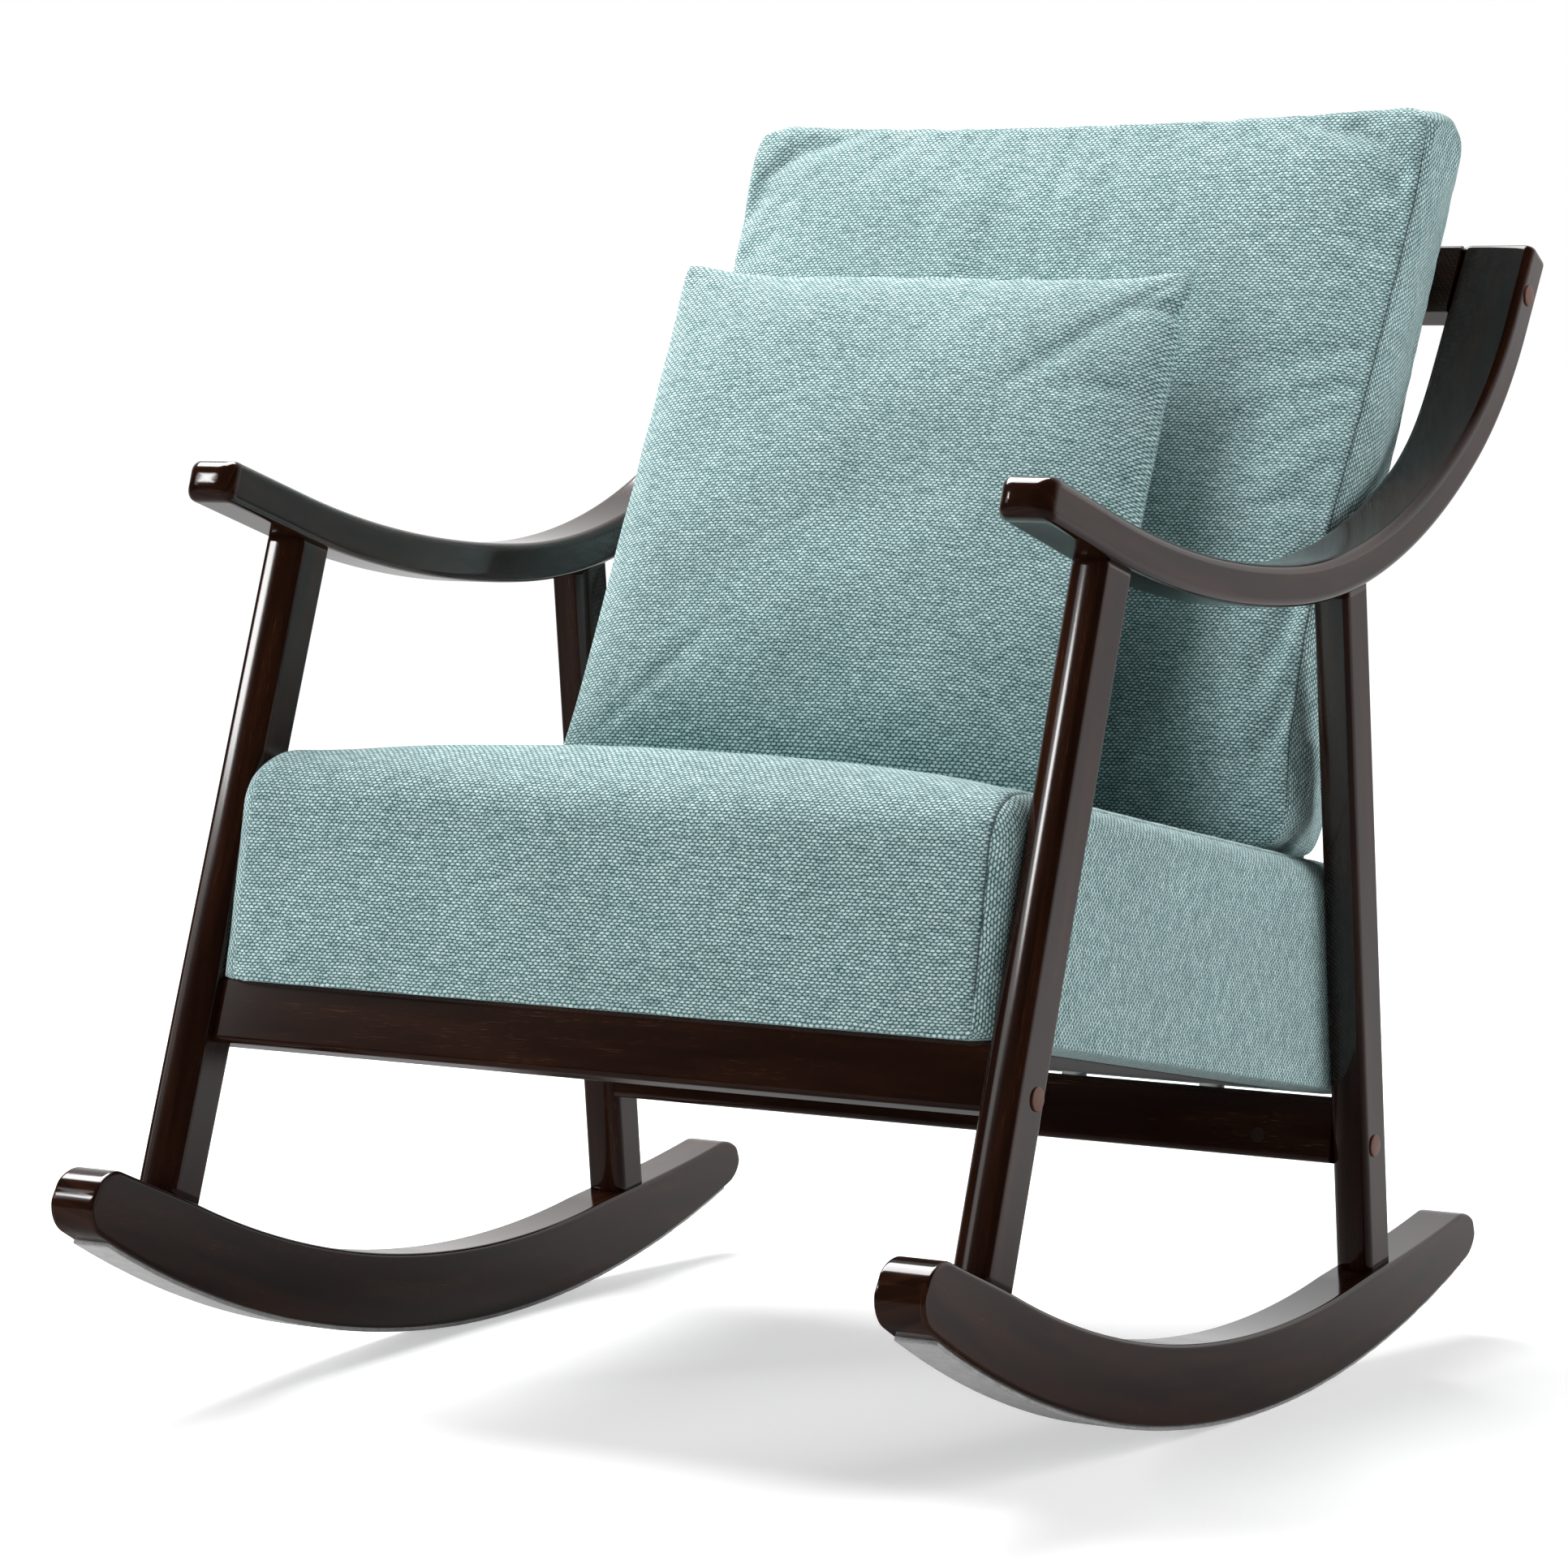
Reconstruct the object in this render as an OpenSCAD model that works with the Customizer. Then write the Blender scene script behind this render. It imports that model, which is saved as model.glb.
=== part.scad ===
/* [Overall] */
// width over the outer faces of the two arms
overall_w = 662; // [620:2:720]
// how far the legs' outer faces lie inside the arms' outer faces
leg_inset = 5.5; // [4:0.5:8]
// how far the rockers' outer faces lie inside the arms' outer faces
rocker_inset = 1; // [0.5:0.5:3]

/* [Rockers] */
// radius of the curve under each rocker
rocker_r = 939; // [880:1:1000]
// thickness of a rocker from side to side
rocker_w = 35.4; // [34:0.2:40]
// height of a rocker between the legs
rocker_h = 53; // [48:1:60]
// height of a rocker at its front end
rocker_front_h = 43; // [36:1:50]
// height of a rocker at its rear end
rocker_rear_h = 32; // [30:1:46]
// angle from the lowest point forward to the rocker's front end
rocker_front_a = 31.4; // [30:0.1:33]
// angle from the lowest point back to the rocker's rear end
rocker_rear_a = 20.1; // [18:0.1:22]
// place of the lowest point of the rockers, from the middle of the chair
rocker_y = 31; // [20:1:42]
// radius of the rounded ends of the rockers
rocker_end_r = 14; // [8:1:14]
// rounding along the edges of the rockers
rocker_edge_r = 4; // [2:0.5:6]
// thickness of the felt strips under the rockers
felt_t = 3; // [2:0.5:4]
// width of the felt strips
felt_w = 29; // [20:1:32]
// length of the patch that the felt is pressed flat on
felt_flat = 60; // [40:2:80]

/* [Legs] */
// thickness of every leg from side to side
leg_w = 29; // [26:0.5:34]
// depth of a front leg
front_leg_d = 36.5; // [34:0.5:44]
// depth of a rear leg
rear_leg_d = 33.5; // [32:0.5:42]
// lean of the front legs, back at the top
front_leg_lean = 19.3; // [17:0.1:21]
// lean of the rear legs, forward at the top
rear_leg_lean = 5.8; // [4:0.1:8]
// place where the back edge of a front leg would meet the floor
front_leg_y = -381; // [-388:1:-375]
// place where the back edge of a rear leg would meet the floor
rear_leg_y = 221; // [214:1:226]
// rounding of the front edges of the legs
leg_front_r = 11; // [4:1:13]
// rounding of the back edges of the legs
leg_back_r = 4; // [2:0.5:6]

/* [Arms] */
// thickness of an arm, square to its length
arm_h = 28.5; // [27:0.5:34]
// width of an arm at its front tip
arm_tip_w = 39.5; // [38:0.5:44]
// width of an arm behind its middle
arm_mid_w = 44; // [42:0.5:50]
// width of an arm at its upper end
arm_top_w = 55.5; // [52:0.5:62]
// place of the arm's front tip
arm_y = -300; // [-310:0.5:-290]
// height of the arm's front tip
arm_z = 621.5; // [605:0.5:640]
// slope of the arm at its tip
arm_tip_a = 17.7; // [16:0.1:20]
// length of the straight stretch behind the tip
arm_tip_len = 89; // [70:1:110]
// radius of the shallow curve over the front leg
arm_r1 = 925; // [850:5:1000]
// turn of the shallow curve
arm_a1 = 16.4; // [15:0.1:18]
// radius of the curve behind the rear leg
arm_r2 = 478; // [440:2:520]
// turn of the curve behind the rear leg
arm_a2 = 35.9; // [34:0.1:38]
// radius of the tightest curve, where the arm turns up
arm_r3 = 294; // [260:2:330]
// turn of the tightest curve
arm_a3 = 23.4; // [21:0.1:25]
// length of the straight upper end
arm_top_len = 62; // [50:1:80]
// rounding along the edges of the arms
arm_edge_r = 6; // [3:0.5:8]
// rounding of the arm's front tip
arm_tip_r = 11; // [4:1:13]

/* [Rails] */
// thickness of the front rail
front_rail_t = 24; // [20:0.5:28]
// height of the front rail on its back face
front_rail_h = 46; // [40:1:56]
// thickness of the rear rail
rear_rail_t = 21; // [20:0.5:26]
// height of the rear rail
rear_rail_h = 46; // [40:1:56]
// place of the rear rail's front face along the underside of the seat
rear_rail_s = 505; // [500:1:508]
// thickness of the top rail of the back
top_rail_t = 26; // [22:0.5:30]
// height of the top rail of the back
top_rail_h = 55; // [48:1:60]
// lean of the top rail
top_rail_lean = 30; // [28:0.5:32]
// distance of the top rail's lower edge from the arm's upper end
top_rail_drop = 56.5; // [54:0.5:60]
// rounding of the rails' edges
rail_r = 4; // [2:0.5:5]

/* [Slats] */
// width of a slat
slat_w = 40; // [30:1:50]
// thickness of a slat
slat_t = 12; // [10:0.5:14]
// distance from the end of the top rail to the middle of the outermost slat
slat_side = 57.5; // [50:0.5:65]
// lean of the slats above the seat
slat_lean = 24; // [23:0.1:24.5]
// radius of the bend in a slat
slat_r = 300; // [250:5:320]
// how far a slat goes up into the top rail
slat_tenon = 12; // [10:1:18]
// clearance round a slat in the top rail
slat_fit = 0.2; // [0.1:0.05:0.4]

/* [Seat] */
// place of the seat's lower front edge
seat_y = -315; // [-318:1:-312]
// height of the seat's lower front edge
seat_z = 286.7; // [280:0.1:292]
// slope of the seat, down to the rear
seat_slope = 11; // [10.5:0.1:11.5]
// length of the seat from front to rear
seat_len = 530; // [528:1:534]
// gap left between the seat's swollen sides and the rear legs
seat_gap = 0.2; // [0.2:0.1:2]
// height of the seat at its edges
seat_h = 160; // [150:1:164]
// crown of the seat above its edges
seat_crown = 16; // [8:1:18]
// how far the seat's sides swell
seat_swell = 0.8; // [0:0.1:0.9]
// radius of the seat's upper front edge
seat_front_r = 40; // [30:1:46]
// radius of the seat's other upper edges
seat_side_r = 24; // [16:1:28]
// thickness of the seat cover with its wadding
seat_wall = 7; // [6:0.5:8]
// height of the wooden frame inside the seat
base_h = 60; // [56:1:70]
// width of the members of the wooden frame inside the seat
base_w = 50; // [40:1:60]
// thickness of the webbing straps
strap_t = 2; // [1.5:0.5:3]
// width of a webbing strap
strap_w = 60; // [40:1:70]
// number of webbing straps
strap_n = 5; // [4:1:6]
// thickness of the dust cover and of the cover's turned-in flange
dust_t = 1.2; // [1:0.1:2]
// width of the cover's turned-in flange
flange_w = 25; // [20:1:35]
// thickness of the spacers between the rear rail and the seat
spacer_t = 2; // [1.5:0.1:3]
// diameter of a spacer
spacer_d = 18; // [14:1:20]

/* [Back cushion] */
// gap left between the back cushion's front seam and the arms
back_gap = 5; // [4:0.5:10]
// height of the back cushion
back_h = 562; // [530:1:566]
// thickness of the back cushion at its edges
back_t = 80; // [70:1:84]
// lean of the back cushion
back_lean = 24.5; // [24:0.1:25]
// crown of its front
back_crown = 26; // [16:1:28]
// crown of its rear
back_rear_crown = 24; // [16:1:26]
// how far its sides are drawn in between the corners
back_draw = 8; // [2:1:14]
// how far its side strip swells between the seams
back_swell = 2; // [0:0.5:2]
// how much higher its underside lies at the rear than at the front
back_rise = 18; // [14:1:22]
// thickness of its cover with the wadding behind it
back_wall = 7; // [5:0.5:9]
// gap left between the cushion and the top rail
rest_gap = 0.4; // [0.3:0.1:1]
// gap left between the cushion and the seat
sit_gap = 0.4; // [0.3:0.1:1]

/* [Pillow] */
// width of the pillow from corner to corner
pillow_w = 410; // [390:1:420]
// height of the pillow from corner to corner
pillow_h = 430; // [410:1:440]
// thickness of the pillow in its middle
pillow_t = 128; // [110:1:134]
// how far its edges are drawn in between the corners
pillow_draw = 22; // [10:1:30]
// lean of the pillow
pillow_lean = 28; // [26:0.5:30]
// turn of the pillow towards one arm
pillow_turn = 8.5; // [6:0.5:10]
// roll of the pillow in its own plane
pillow_roll = 2; // [0:0.5:4]
// thickness of its cover with the lining
pillow_wall = 4; // [3:0.5:5]
// place of the pillow's middle from side to side
pillow_x = -34; // [-50:1:-20]

/* [Fasteners] */
// shank of a frame bolt
bolt_d = 6; // [5:0.5:7]
// clearance of a bolt in its hole, on the diameter
bolt_fit = 0.6; // [0.3:0.1:1]
// diameter of a bolt head
head_d = 11; // [9:0.5:12]
// height of a bolt head
head_h = 4.5; // [4:0.5:6]
// depth of a bolt head's recess
recess = 9; // [8:0.5:12]
// diameter of a bolt cap
cap_d = 15.5; // [13:0.5:18]
// how far a bolt cap stands out
cap_t = 1.6; // [1:0.2:3]
// diameter of a barrel nut
nut_d = 10; // [9:0.5:12]
// length of a barrel nut
nut_len = 13; // [12:0.5:14]
// thickness of the plugs over the barrel nuts
plug_t = 2; // [1:0.5:3]
// distance from a rail's end to its barrel nut
nut_in = 56; // [40:1:60]
// diameter of a wooden dowel
dowel_d = 8; // [6:0.5:9]
// depth of a dowel in each piece
dowel_in = 15; // [12:1:17]
// clearance of a dowel on its diameter
dowel_fit = 0.2; // [0.1:0.05:0.4]
// distance of the two dowels of a leg from its middle
dowel_gap = 9; // [8:0.5:11]
// diameter of a wood screw
screw_d = 4.5; // [4:0.5:5]
// diameter of a wood screw's head
screw_head_d = 9; // [8:0.5:10]

/* [Hidden] */
$fn = 48;
wood = [0.2, 0.12, 0.09];
fabric = [0.5, 0.68, 0.64];
steel = [0.55, 0.55, 0.57];
eps = 0.01;
far = 2000;
skin_fit = 0.3;
arm_out = overall_w / 2;
rocker_out = arm_out - rocker_inset;
leg_out = arm_out - leg_inset;
leg_in = leg_out - leg_w;
arm_in = arm_out - arm_top_w;
seat_w = 2 * (leg_in - seat_swell - seat_gap);
back_w = 2 * (arm_out - arm_mid_w - back_gap);
slat_span = 2 * (arm_in - slat_side);
rocker_c = [rocker_y, rocker_r + felt_t];

// plane geometry in the side view: a point is a pair of Y and Z
function turn(a, p) = [p[0] * cos(a) - p[1] * sin(a), p[0] * sin(a) + p[1] * cos(a)];
function dir(a) = [cos(a), sin(a)];
function in_frame(o, a, p) = o + turn(a, p);
function cross2(a, b) = a[0] * b[1] - a[1] * b[0];
// where the line from p along d meets a chain of points
function meet(p, d, c) = [for (i = [0 : len(c) - 2])
    let (e = c[i + 1] - c[i], k = cross2(d, e))
    let (u = abs(k) < 1e-9 ? -1 : cross2(c[i] - p, d) / k)
    if (u >= 0 && u < 1) c[i] + u * e][0];
function ease(t) = t * t * (3 - 2 * t);
function clamp01(t) = max(0, min(1, t));

// closed skin over rings of equal length, first ring at the start
function skin_faces(n, m) = concat(
    [for (j = [1 : m - 2]) [0, j, j + 1]],
    [for (i = [0 : n - 2]) for (j = [0 : m - 1])
        [i * m + j, (i + 1) * m + (j + 1) % m, i * m + (j + 1) % m]],
    [for (i = [0 : n - 2]) for (j = [0 : m - 1])
        [i * m + j, (i + 1) * m + j, (i + 1) * m + (j + 1) % m]],
    [for (j = [1 : m - 2]) [(n - 1) * m, (n - 1) * m + j + 1, (n - 1) * m + j]]);
module skin(rings) {
    polyhedron(points = [for (r = rings) for (p = r) p],
        faces = skin_faces(len(rings), len(rings[0])));
}

// rounded rectangle from x0 to x1 and from h0 to h1
corner_n = 3;
flat_left = 0.4;
function rounded(x0, x1, h0, h1, r) = [
    for (c = [[x1 - r, h0 + r, 0], [x0 + r, h0 + r, -90], [x0 + r, h1 - r, 180], [x1 - r, h1 - r, 90]])
    for (k = [0 : corner_n])
    [c[0] + r * cos(c[2] - 90 * k / corner_n), c[1] + r * sin(c[2] - 90 * k / corner_n)]];
// how far a rounded end is drawn in at a distance d from its tip
function drawn(d, r) = d >= r ? 0 : r - sqrt(r * r - (r - d) * (r - d));

module side_plate(x0, x1) {
    translate([x0, 0, 0]) rotate([90, 0, 90]) linear_extrude(x1 - x0) children();
}
module both() {
    children();
    mirror([1, 0, 0]) children();
}
module along_x(x0, x1, p, d) {
    translate([x0, p[0], p[1]]) rotate([0, 90, 0]) cylinder(d = d, h = x1 - x0);
}

// rocker: stations by angle round the centre of its curve, front end first
rocker_step = 1.5;
rocker_a_len = rocker_front_a + rocker_rear_a;
rocker_end_a = rocker_end_r / rocker_r * 180 / PI;
end_steps = [0, 0.03, 0.12, 0.3, 0.6];
rocker_mid_n = ceil((rocker_a_len - 2 * rocker_end_a) / rocker_step);
rocker_a = concat(
    [for (e = end_steps) -rocker_front_a + e * rocker_end_a],
    [for (i = [0 : rocker_mid_n]) -rocker_front_a + rocker_end_a
        + i * (rocker_a_len - 2 * rocker_end_a) / rocker_mid_n],
    [for (i = [4 : -1 : 0]) rocker_rear_a - end_steps[i] * rocker_end_a]);
taper_front_a = 7;
taper_rear_a = 12;
function rocker_depth(a) = rocker_h
    - (rocker_h - rocker_front_h) * pow(clamp01((-a - rocker_front_a + taper_front_a) / taper_front_a), 1.6)
    - (rocker_h - rocker_rear_h) * pow(clamp01((a - rocker_rear_a + taper_rear_a) / taper_rear_a), 1.5);
function rocker_end(a) = min(a + rocker_front_a, rocker_rear_a - a) * rocker_r * PI / 180;
function rocker_point(a, up) = rocker_c + (rocker_r - up) * dir(a - 90);
rocker_top = [for (a = rocker_a) rocker_point(a, rocker_depth(a))];

module rocker() {
    skin([for (a = rocker_a) let (
        e = drawn(rocker_end(a), rocker_end_r),
        g = drawn(rocker_end(a), rocker_edge_r),
        d = rocker_depth(a))
        [for (p = rounded(rocker_out - rocker_w + g, rocker_out - g, e, d - e,
            min(rocker_edge_r, d / 2 - e - flat_left)))
            let (q = rocker_point(a, p[1])) [p[0], q[0], q[1]]]]);
}

// arm: stations along a path of straights and arcs, tip first
arm_step = 14;
arm_parts = [[arm_tip_len, 0], [arm_r1 * arm_a1 * PI / 180, arm_a1],
    [arm_r2 * arm_a2 * PI / 180, arm_a2], [arm_r3 * arm_a3 * PI / 180, arm_a3], [arm_top_len, 0]];
// distance along a path made of [length, turn] parts, up to part i
function run_to(parts, i) = i <= 0 ? 0 : parts[i - 1][0] + run_to(parts, i - 1);
function turn_to(parts, i) = i <= 0 ? 0 : parts[i - 1][1] + turn_to(parts, i - 1);
// point reached after a distance s inside one part that starts at p with slope a
function step_in(p, a, part, s) = part[1] == 0 ? p + s * dir(a) :
    let (r = part[0] * 180 / PI / part[1], b = a + part[1] * s / part[0])
    p + r * [sin(b) - sin(a), cos(a) - cos(b)];
function start_of(parts, i, p, a) = i <= 0 ? p :
    step_in(start_of(parts, i - 1, p, a), a + turn_to(parts, i - 1), parts[i - 1], parts[i - 1][0]);
// list of [point, slope, distance] along a path
function path(parts, p, a, step) = [for (i = [0 : len(parts) - 1])
    let (n = max(1, ceil(parts[i][0] / step)), q = start_of(parts, i, p, a), b = a + turn_to(parts, i))
    for (k = [(i == 0 ? 0 : 1) : n]) let (s = parts[i][0] * k / n)
    [step_in(q, b, parts[i], s), b + parts[i][1] * s / parts[i][0], run_to(parts, i) + s]];
arm_len = run_to(arm_parts, len(arm_parts));
arm_top_r = 4;
arm_rough = path(arm_parts, [arm_y, arm_z], -arm_tip_a, arm_step);
arm_ends = concat([for (e = end_steps) e * arm_tip_r], [arm_tip_r],
    [for (e = [1, 0.5, 0.12, 0]) arm_len - e * arm_top_r]);
function arm_at(s) = let (
    i = [for (k = [0 : len(arm_parts) - 1]) if (s <= run_to(arm_parts, k + 1) + eps) k][0],
    q = start_of(arm_parts, i, [arm_y, arm_z], -arm_tip_a),
    b = -arm_tip_a + turn_to(arm_parts, i),
    t = s - run_to(arm_parts, i))
    [step_in(q, b, arm_parts[i], t), b + arm_parts[i][1] * t / arm_parts[i][0], s];
arm_path = concat(
    [for (k = [0 : 5]) arm_at(arm_ends[k])],
    [for (q = arm_rough) if (q[2] > arm_tip_r + 1 && q[2] < arm_len - arm_top_r - 1) q],
    [for (k = [6 : 9]) arm_at(arm_ends[k])]);
arm_low = [for (q = arm_path) q[0] - arm_h / 2 * dir(q[1] + 90)];
// where the arm starts to widen, over which length, and the same for its upper end
arm_mid_from = 120;
arm_mid_run = 300;
arm_widen_end = 70;
arm_widen_run = 170;
function arm_w_at(s) = arm_tip_w + (arm_mid_w - arm_tip_w) * ease(clamp01((s - arm_mid_from) / arm_mid_run))
    + (arm_top_w - arm_mid_w) * ease(clamp01((s - arm_len + arm_widen_run + arm_widen_end) / arm_widen_run));
module arm() {
    skin([for (q = arm_path) let (
        d = min(q[2], arm_len - q[2]),
        e = q[2] < arm_len / 2 ? drawn(d, arm_tip_r) : drawn(d, arm_top_r),
        n = dir(q[1] + 90))
        [for (p = rounded(arm_out - arm_w_at(q[2]) + e, arm_out - e, -arm_h / 2 + e, arm_h / 2 - e,
            min(arm_edge_r, arm_h / 2 - e - flat_left)))
            [p[0], q[0][0] + n[0] * p[1], q[0][1] + n[1] * p[1]]]]);
}

// frames of the legs, rails and seat: origin and slope of the rearward direction
front_leg_o = [front_leg_y, 0];
rear_leg_o = [rear_leg_y, 0];
seat_o = [seat_y, seat_z];
seat_a = -seat_slope;
module on(o, a) {
    translate([0, o[0], o[1]]) rotate([a, 0, 0]) children();
}
front_leg_up = dir(90 - front_leg_lean);
rear_leg_up = dir(90 + rear_leg_lean);
front_leg_mid = front_leg_o - front_leg_d / 2 * dir(-front_leg_lean);
rear_leg_mid = rear_leg_o - rear_leg_d / 2 * dir(rear_leg_lean);

module leg_section(d) {
    r = leg_front_r;
    b = leg_back_r;
    translate([leg_in, -d]) {
        translate([r, 0]) square([leg_w - 2 * r, d]);
        translate([0, r]) square([leg_w, d - r - b]);
        translate([b, r]) square([leg_w - 2 * b, d - r]);
        for (x = [r, leg_w - r]) translate([x, r]) circle(r = r);
        for (x = [b, leg_w - b]) translate([x, d - b]) circle(r = b);
    }
}
module between() {
    polygon(concat(rocker_top, [for (i = [len(arm_low) - 1 : -1 : 0]) arm_low[i]]));
}
module leg(o, a, d) {
    intersection() {
        on(o, a) linear_extrude(far / 2) leg_section(d);
        side_plate(leg_in - 1, leg_out + 1) between();
    }
}

// dowels of a leg: at the foot into the rocker and at the head into the arm
module leg_pins(mid, up, a, grow, more) {
    for (chain = [rocker_top, arm_low]) for (k = [-1, 1]) {
        p = meet(mid + k * dowel_gap * dir(a), up, chain);
        translate([leg_out - leg_w / 2, p[0], p[1]]) rotate([atan2(up[1], up[0]) - 90, 0, 0])
            cylinder(d = dowel_d + grow, h = 2 * dowel_in + more, center = true);
    }
}
module front_leg_pins(grow = 0, more = 0) {
    leg_pins(front_leg_mid, front_leg_up, -front_leg_lean, grow, more);
}
module rear_leg_pins(grow = 0, more = 0) {
    leg_pins(rear_leg_mid, rear_leg_up, rear_leg_lean, grow, more);
}

// front rail: flush with the back of the front legs, its top planed to the seat
seat_hit = meet(front_leg_o, front_leg_up, [seat_o - far * dir(seat_a), seat_o + far * dir(seat_a)]);
front_rail_o = seat_hit - front_rail_h * front_leg_up;
front_rail_a = -front_leg_lean;
front_bolt_up = 12;
front_pin_up = 31;
front_bolt = in_frame(front_rail_o, front_rail_a, [-front_rail_t / 2, front_bolt_up]);
front_pin = in_frame(front_rail_o, front_rail_a, [-front_rail_t / 2, front_pin_up]);
// rear rail: square to the seat, below the spacers
rear_rail_o = in_frame(seat_o, seat_a, [rear_rail_s, -spacer_t - rear_rail_h]);
rear_bolt_up = 15;
rear_pin_up = 33;
rear_bolt = in_frame(rear_rail_o, seat_a, [rear_rail_t / 2, rear_bolt_up]);
rear_pin = in_frame(rear_rail_o, seat_a, [rear_rail_t / 2, rear_pin_up]);
// top rail: leans with the ends of the arms, flush with their front faces
arm_end = arm_at(arm_len);
top_rail_o = arm_end[0] - top_rail_drop * dir(arm_end[1]) + (arm_h / 2) * dir(arm_end[1] + 90)
    + [top_rail_t * cos(top_rail_lean), -top_rail_t * sin(top_rail_lean)];
top_rail_a = -top_rail_lean;
top_bolt_up = 19;
top_pin_up = 38;
top_bolt = in_frame(top_rail_o, top_rail_a, [-top_rail_t / 2, top_bolt_up]);
top_pin = in_frame(top_rail_o, top_rail_a, [-top_rail_t / 2, top_pin_up]);

module rail_section(t, h) {
    translate([-t, 0]) {
        translate([rail_r, 0]) square([t - 2 * rail_r, h]);
        translate([0, rail_r]) square([t, h - 2 * rail_r]);
        for (y = [rail_r, t - rail_r]) for (z = [rail_r, h - rail_r]) translate([y, z]) circle(r = rail_r);
    }
}
// bar of a rounded section across the chair, in the frame of the rail
module bar(x, o, a, t, h) {
    on(o, a) rotate([90, 0, 90]) translate([0, 0, -x]) linear_extrude(2 * x) rail_section(t, h);
}

// frame bolts: place in the side view, outer face, inner end of the rail, face that takes the nut
joints = [[front_bolt, leg_out, leg_in, front_rail_a, front_rail_t, 1],
    [rear_bolt, leg_out, leg_in, seat_a, rear_rail_t, -1],
    [top_bolt, arm_out, arm_in, top_rail_a, top_rail_t, 1]];
module bolt(j, grow = 0, long = 0) {
    both() {
        along_x(j[1] - recess, j[1] - recess + head_h + long, j[0], head_d + 2 * grow);
        along_x(j[2] - nut_in - nut_d / 2 - 1.5 - long, j[1] - recess + eps, j[0], bolt_d + grow);
    }
}
// barrel nut and its bore, which comes in from one face of the rail
nut_bore = nut_len + plug_t + 2;
module nut_place(j) {
    both() translate([j[2] - nut_in, j[0][0], j[0][1]]) rotate([j[3], 0, 0])
        rotate([j[5] > 0 ? -90 : 90, 0, 0]) children();
}
module nut_holes(j) {
    nut_place(j) translate([0, 0, j[4] / 2 - nut_bore]) cylinder(d = nut_d + dowel_fit, h = nut_bore + 1);
}
module rail_pins(p, x, grow = 0, more = 0) {
    both() along_x(x - dowel_in - more / 2, x + dowel_in + more / 2, p, dowel_d + grow);
}
pins = [[front_pin, leg_in], [rear_pin, leg_in], [top_pin, arm_in]];
pin_room = 1;

module front_rail() {
    difference() {
        bar(leg_in, front_rail_o, front_rail_a, front_rail_t, front_rail_h + 3 * rail_r);
        on(seat_o, seat_a) translate([-far / 2, -far / 2, 0]) cube([far, far, far]);
        bolt(joints[0], bolt_fit, 1);
        nut_holes(joints[0]);
        rail_pins(front_pin, leg_in, dowel_fit, pin_room);
        seat_screw_set(bolt_fit, 1);
    }
}
module rear_rail() {
    difference() {
        bar(leg_in, in_frame(rear_rail_o, seat_a, [rear_rail_t, 0]), seat_a, rear_rail_t, rear_rail_h);
        bolt(joints[1], bolt_fit, 1);
        nut_holes(joints[1]);
        rail_pins(rear_pin, leg_in, dowel_fit, pin_room);
        seat_screw_set(bolt_fit, 1);
    }
}
module top_back_rail() {
    difference() {
        bar(arm_in, top_rail_o, top_rail_a, top_rail_t, top_rail_h);
        bolt(joints[2], bolt_fit, 1);
        nut_holes(joints[2]);
        rail_pins(top_pin, arm_in, dowel_fit, pin_room);
        for (i = [0 : slat_n - 1]) slat(i, slat_fit);
    }
}

// slats: straight at the foot, square to the seat, then bent back to the top rail
slat_n = 5;
slat_head = in_frame(top_rail_o, top_rail_a, [-top_rail_t / 2, 0]);
slat_foot_s = seat_len + slat_t / 2 + skin_fit;
slat_foot_n = 4;
slat_foot = in_frame(seat_o, seat_a, [slat_foot_s, slat_foot_n]);
slat_bend = slat_lean - seat_slope;
slat_corner = meet(slat_foot, dir(90 - seat_slope),
    [slat_head - far * dir(90 - slat_lean), slat_head + far * dir(90 - slat_lean)]);
slat_tan = slat_r * tan(slat_bend / 2);
slat_low_len = norm(slat_corner - slat_foot) - slat_tan;
slat_high_len = norm(slat_head - slat_corner) - slat_tan + slat_tenon;
slat_path = path([[slat_low_len, 0], [slat_r * slat_bend * PI / 180, -slat_bend], [slat_high_len, 0]],
    slat_foot, 90 - seat_slope, 12);
slat_gap = slat_span / (slat_n - 1);
module slat(i, grow = 0) {
    x = -slat_span / 2 + i * slat_gap;
    n = len(slat_path) - 1;
    h = slat_t / 2 + grow;
    side_plate(x - slat_w / 2 - grow, x + slat_w / 2 + grow) polygon(concat(
        [for (q = slat_path) q[0] + (q == slat_path[n] ? grow * dir(q[1]) : [0, 0]) + h * dir(q[1] - 90)],
        [for (k = [n : -1 : 0]) let (q = slat_path[k])
            q[0] + (k == n ? grow * dir(q[1]) : [0, 0]) + h * dir(q[1] + 90)]));
}
slat_screw_n = [16, 42];
slat_screw_len = 40;
module slat_screw_set(grow = 0, long = 0) {
    for (i = [0 : slat_n - 1]) for (n = slat_screw_n)
        on(seat_o, seat_a) translate([-slat_span / 2 + i * slat_gap, seat_len + slat_t, n]) rotate([90, 0, 0]) {
            translate([0, 0, -long]) cylinder(d = screw_head_d + 2 * grow, h = 2.5 + long);
            cylinder(d = screw_d + grow, h = slat_screw_len + long);
        }
}
module back_slat(i) {
    difference() {
        slat(i);
        slat_screw_set(skin_fit, 1);
    }
}

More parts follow.
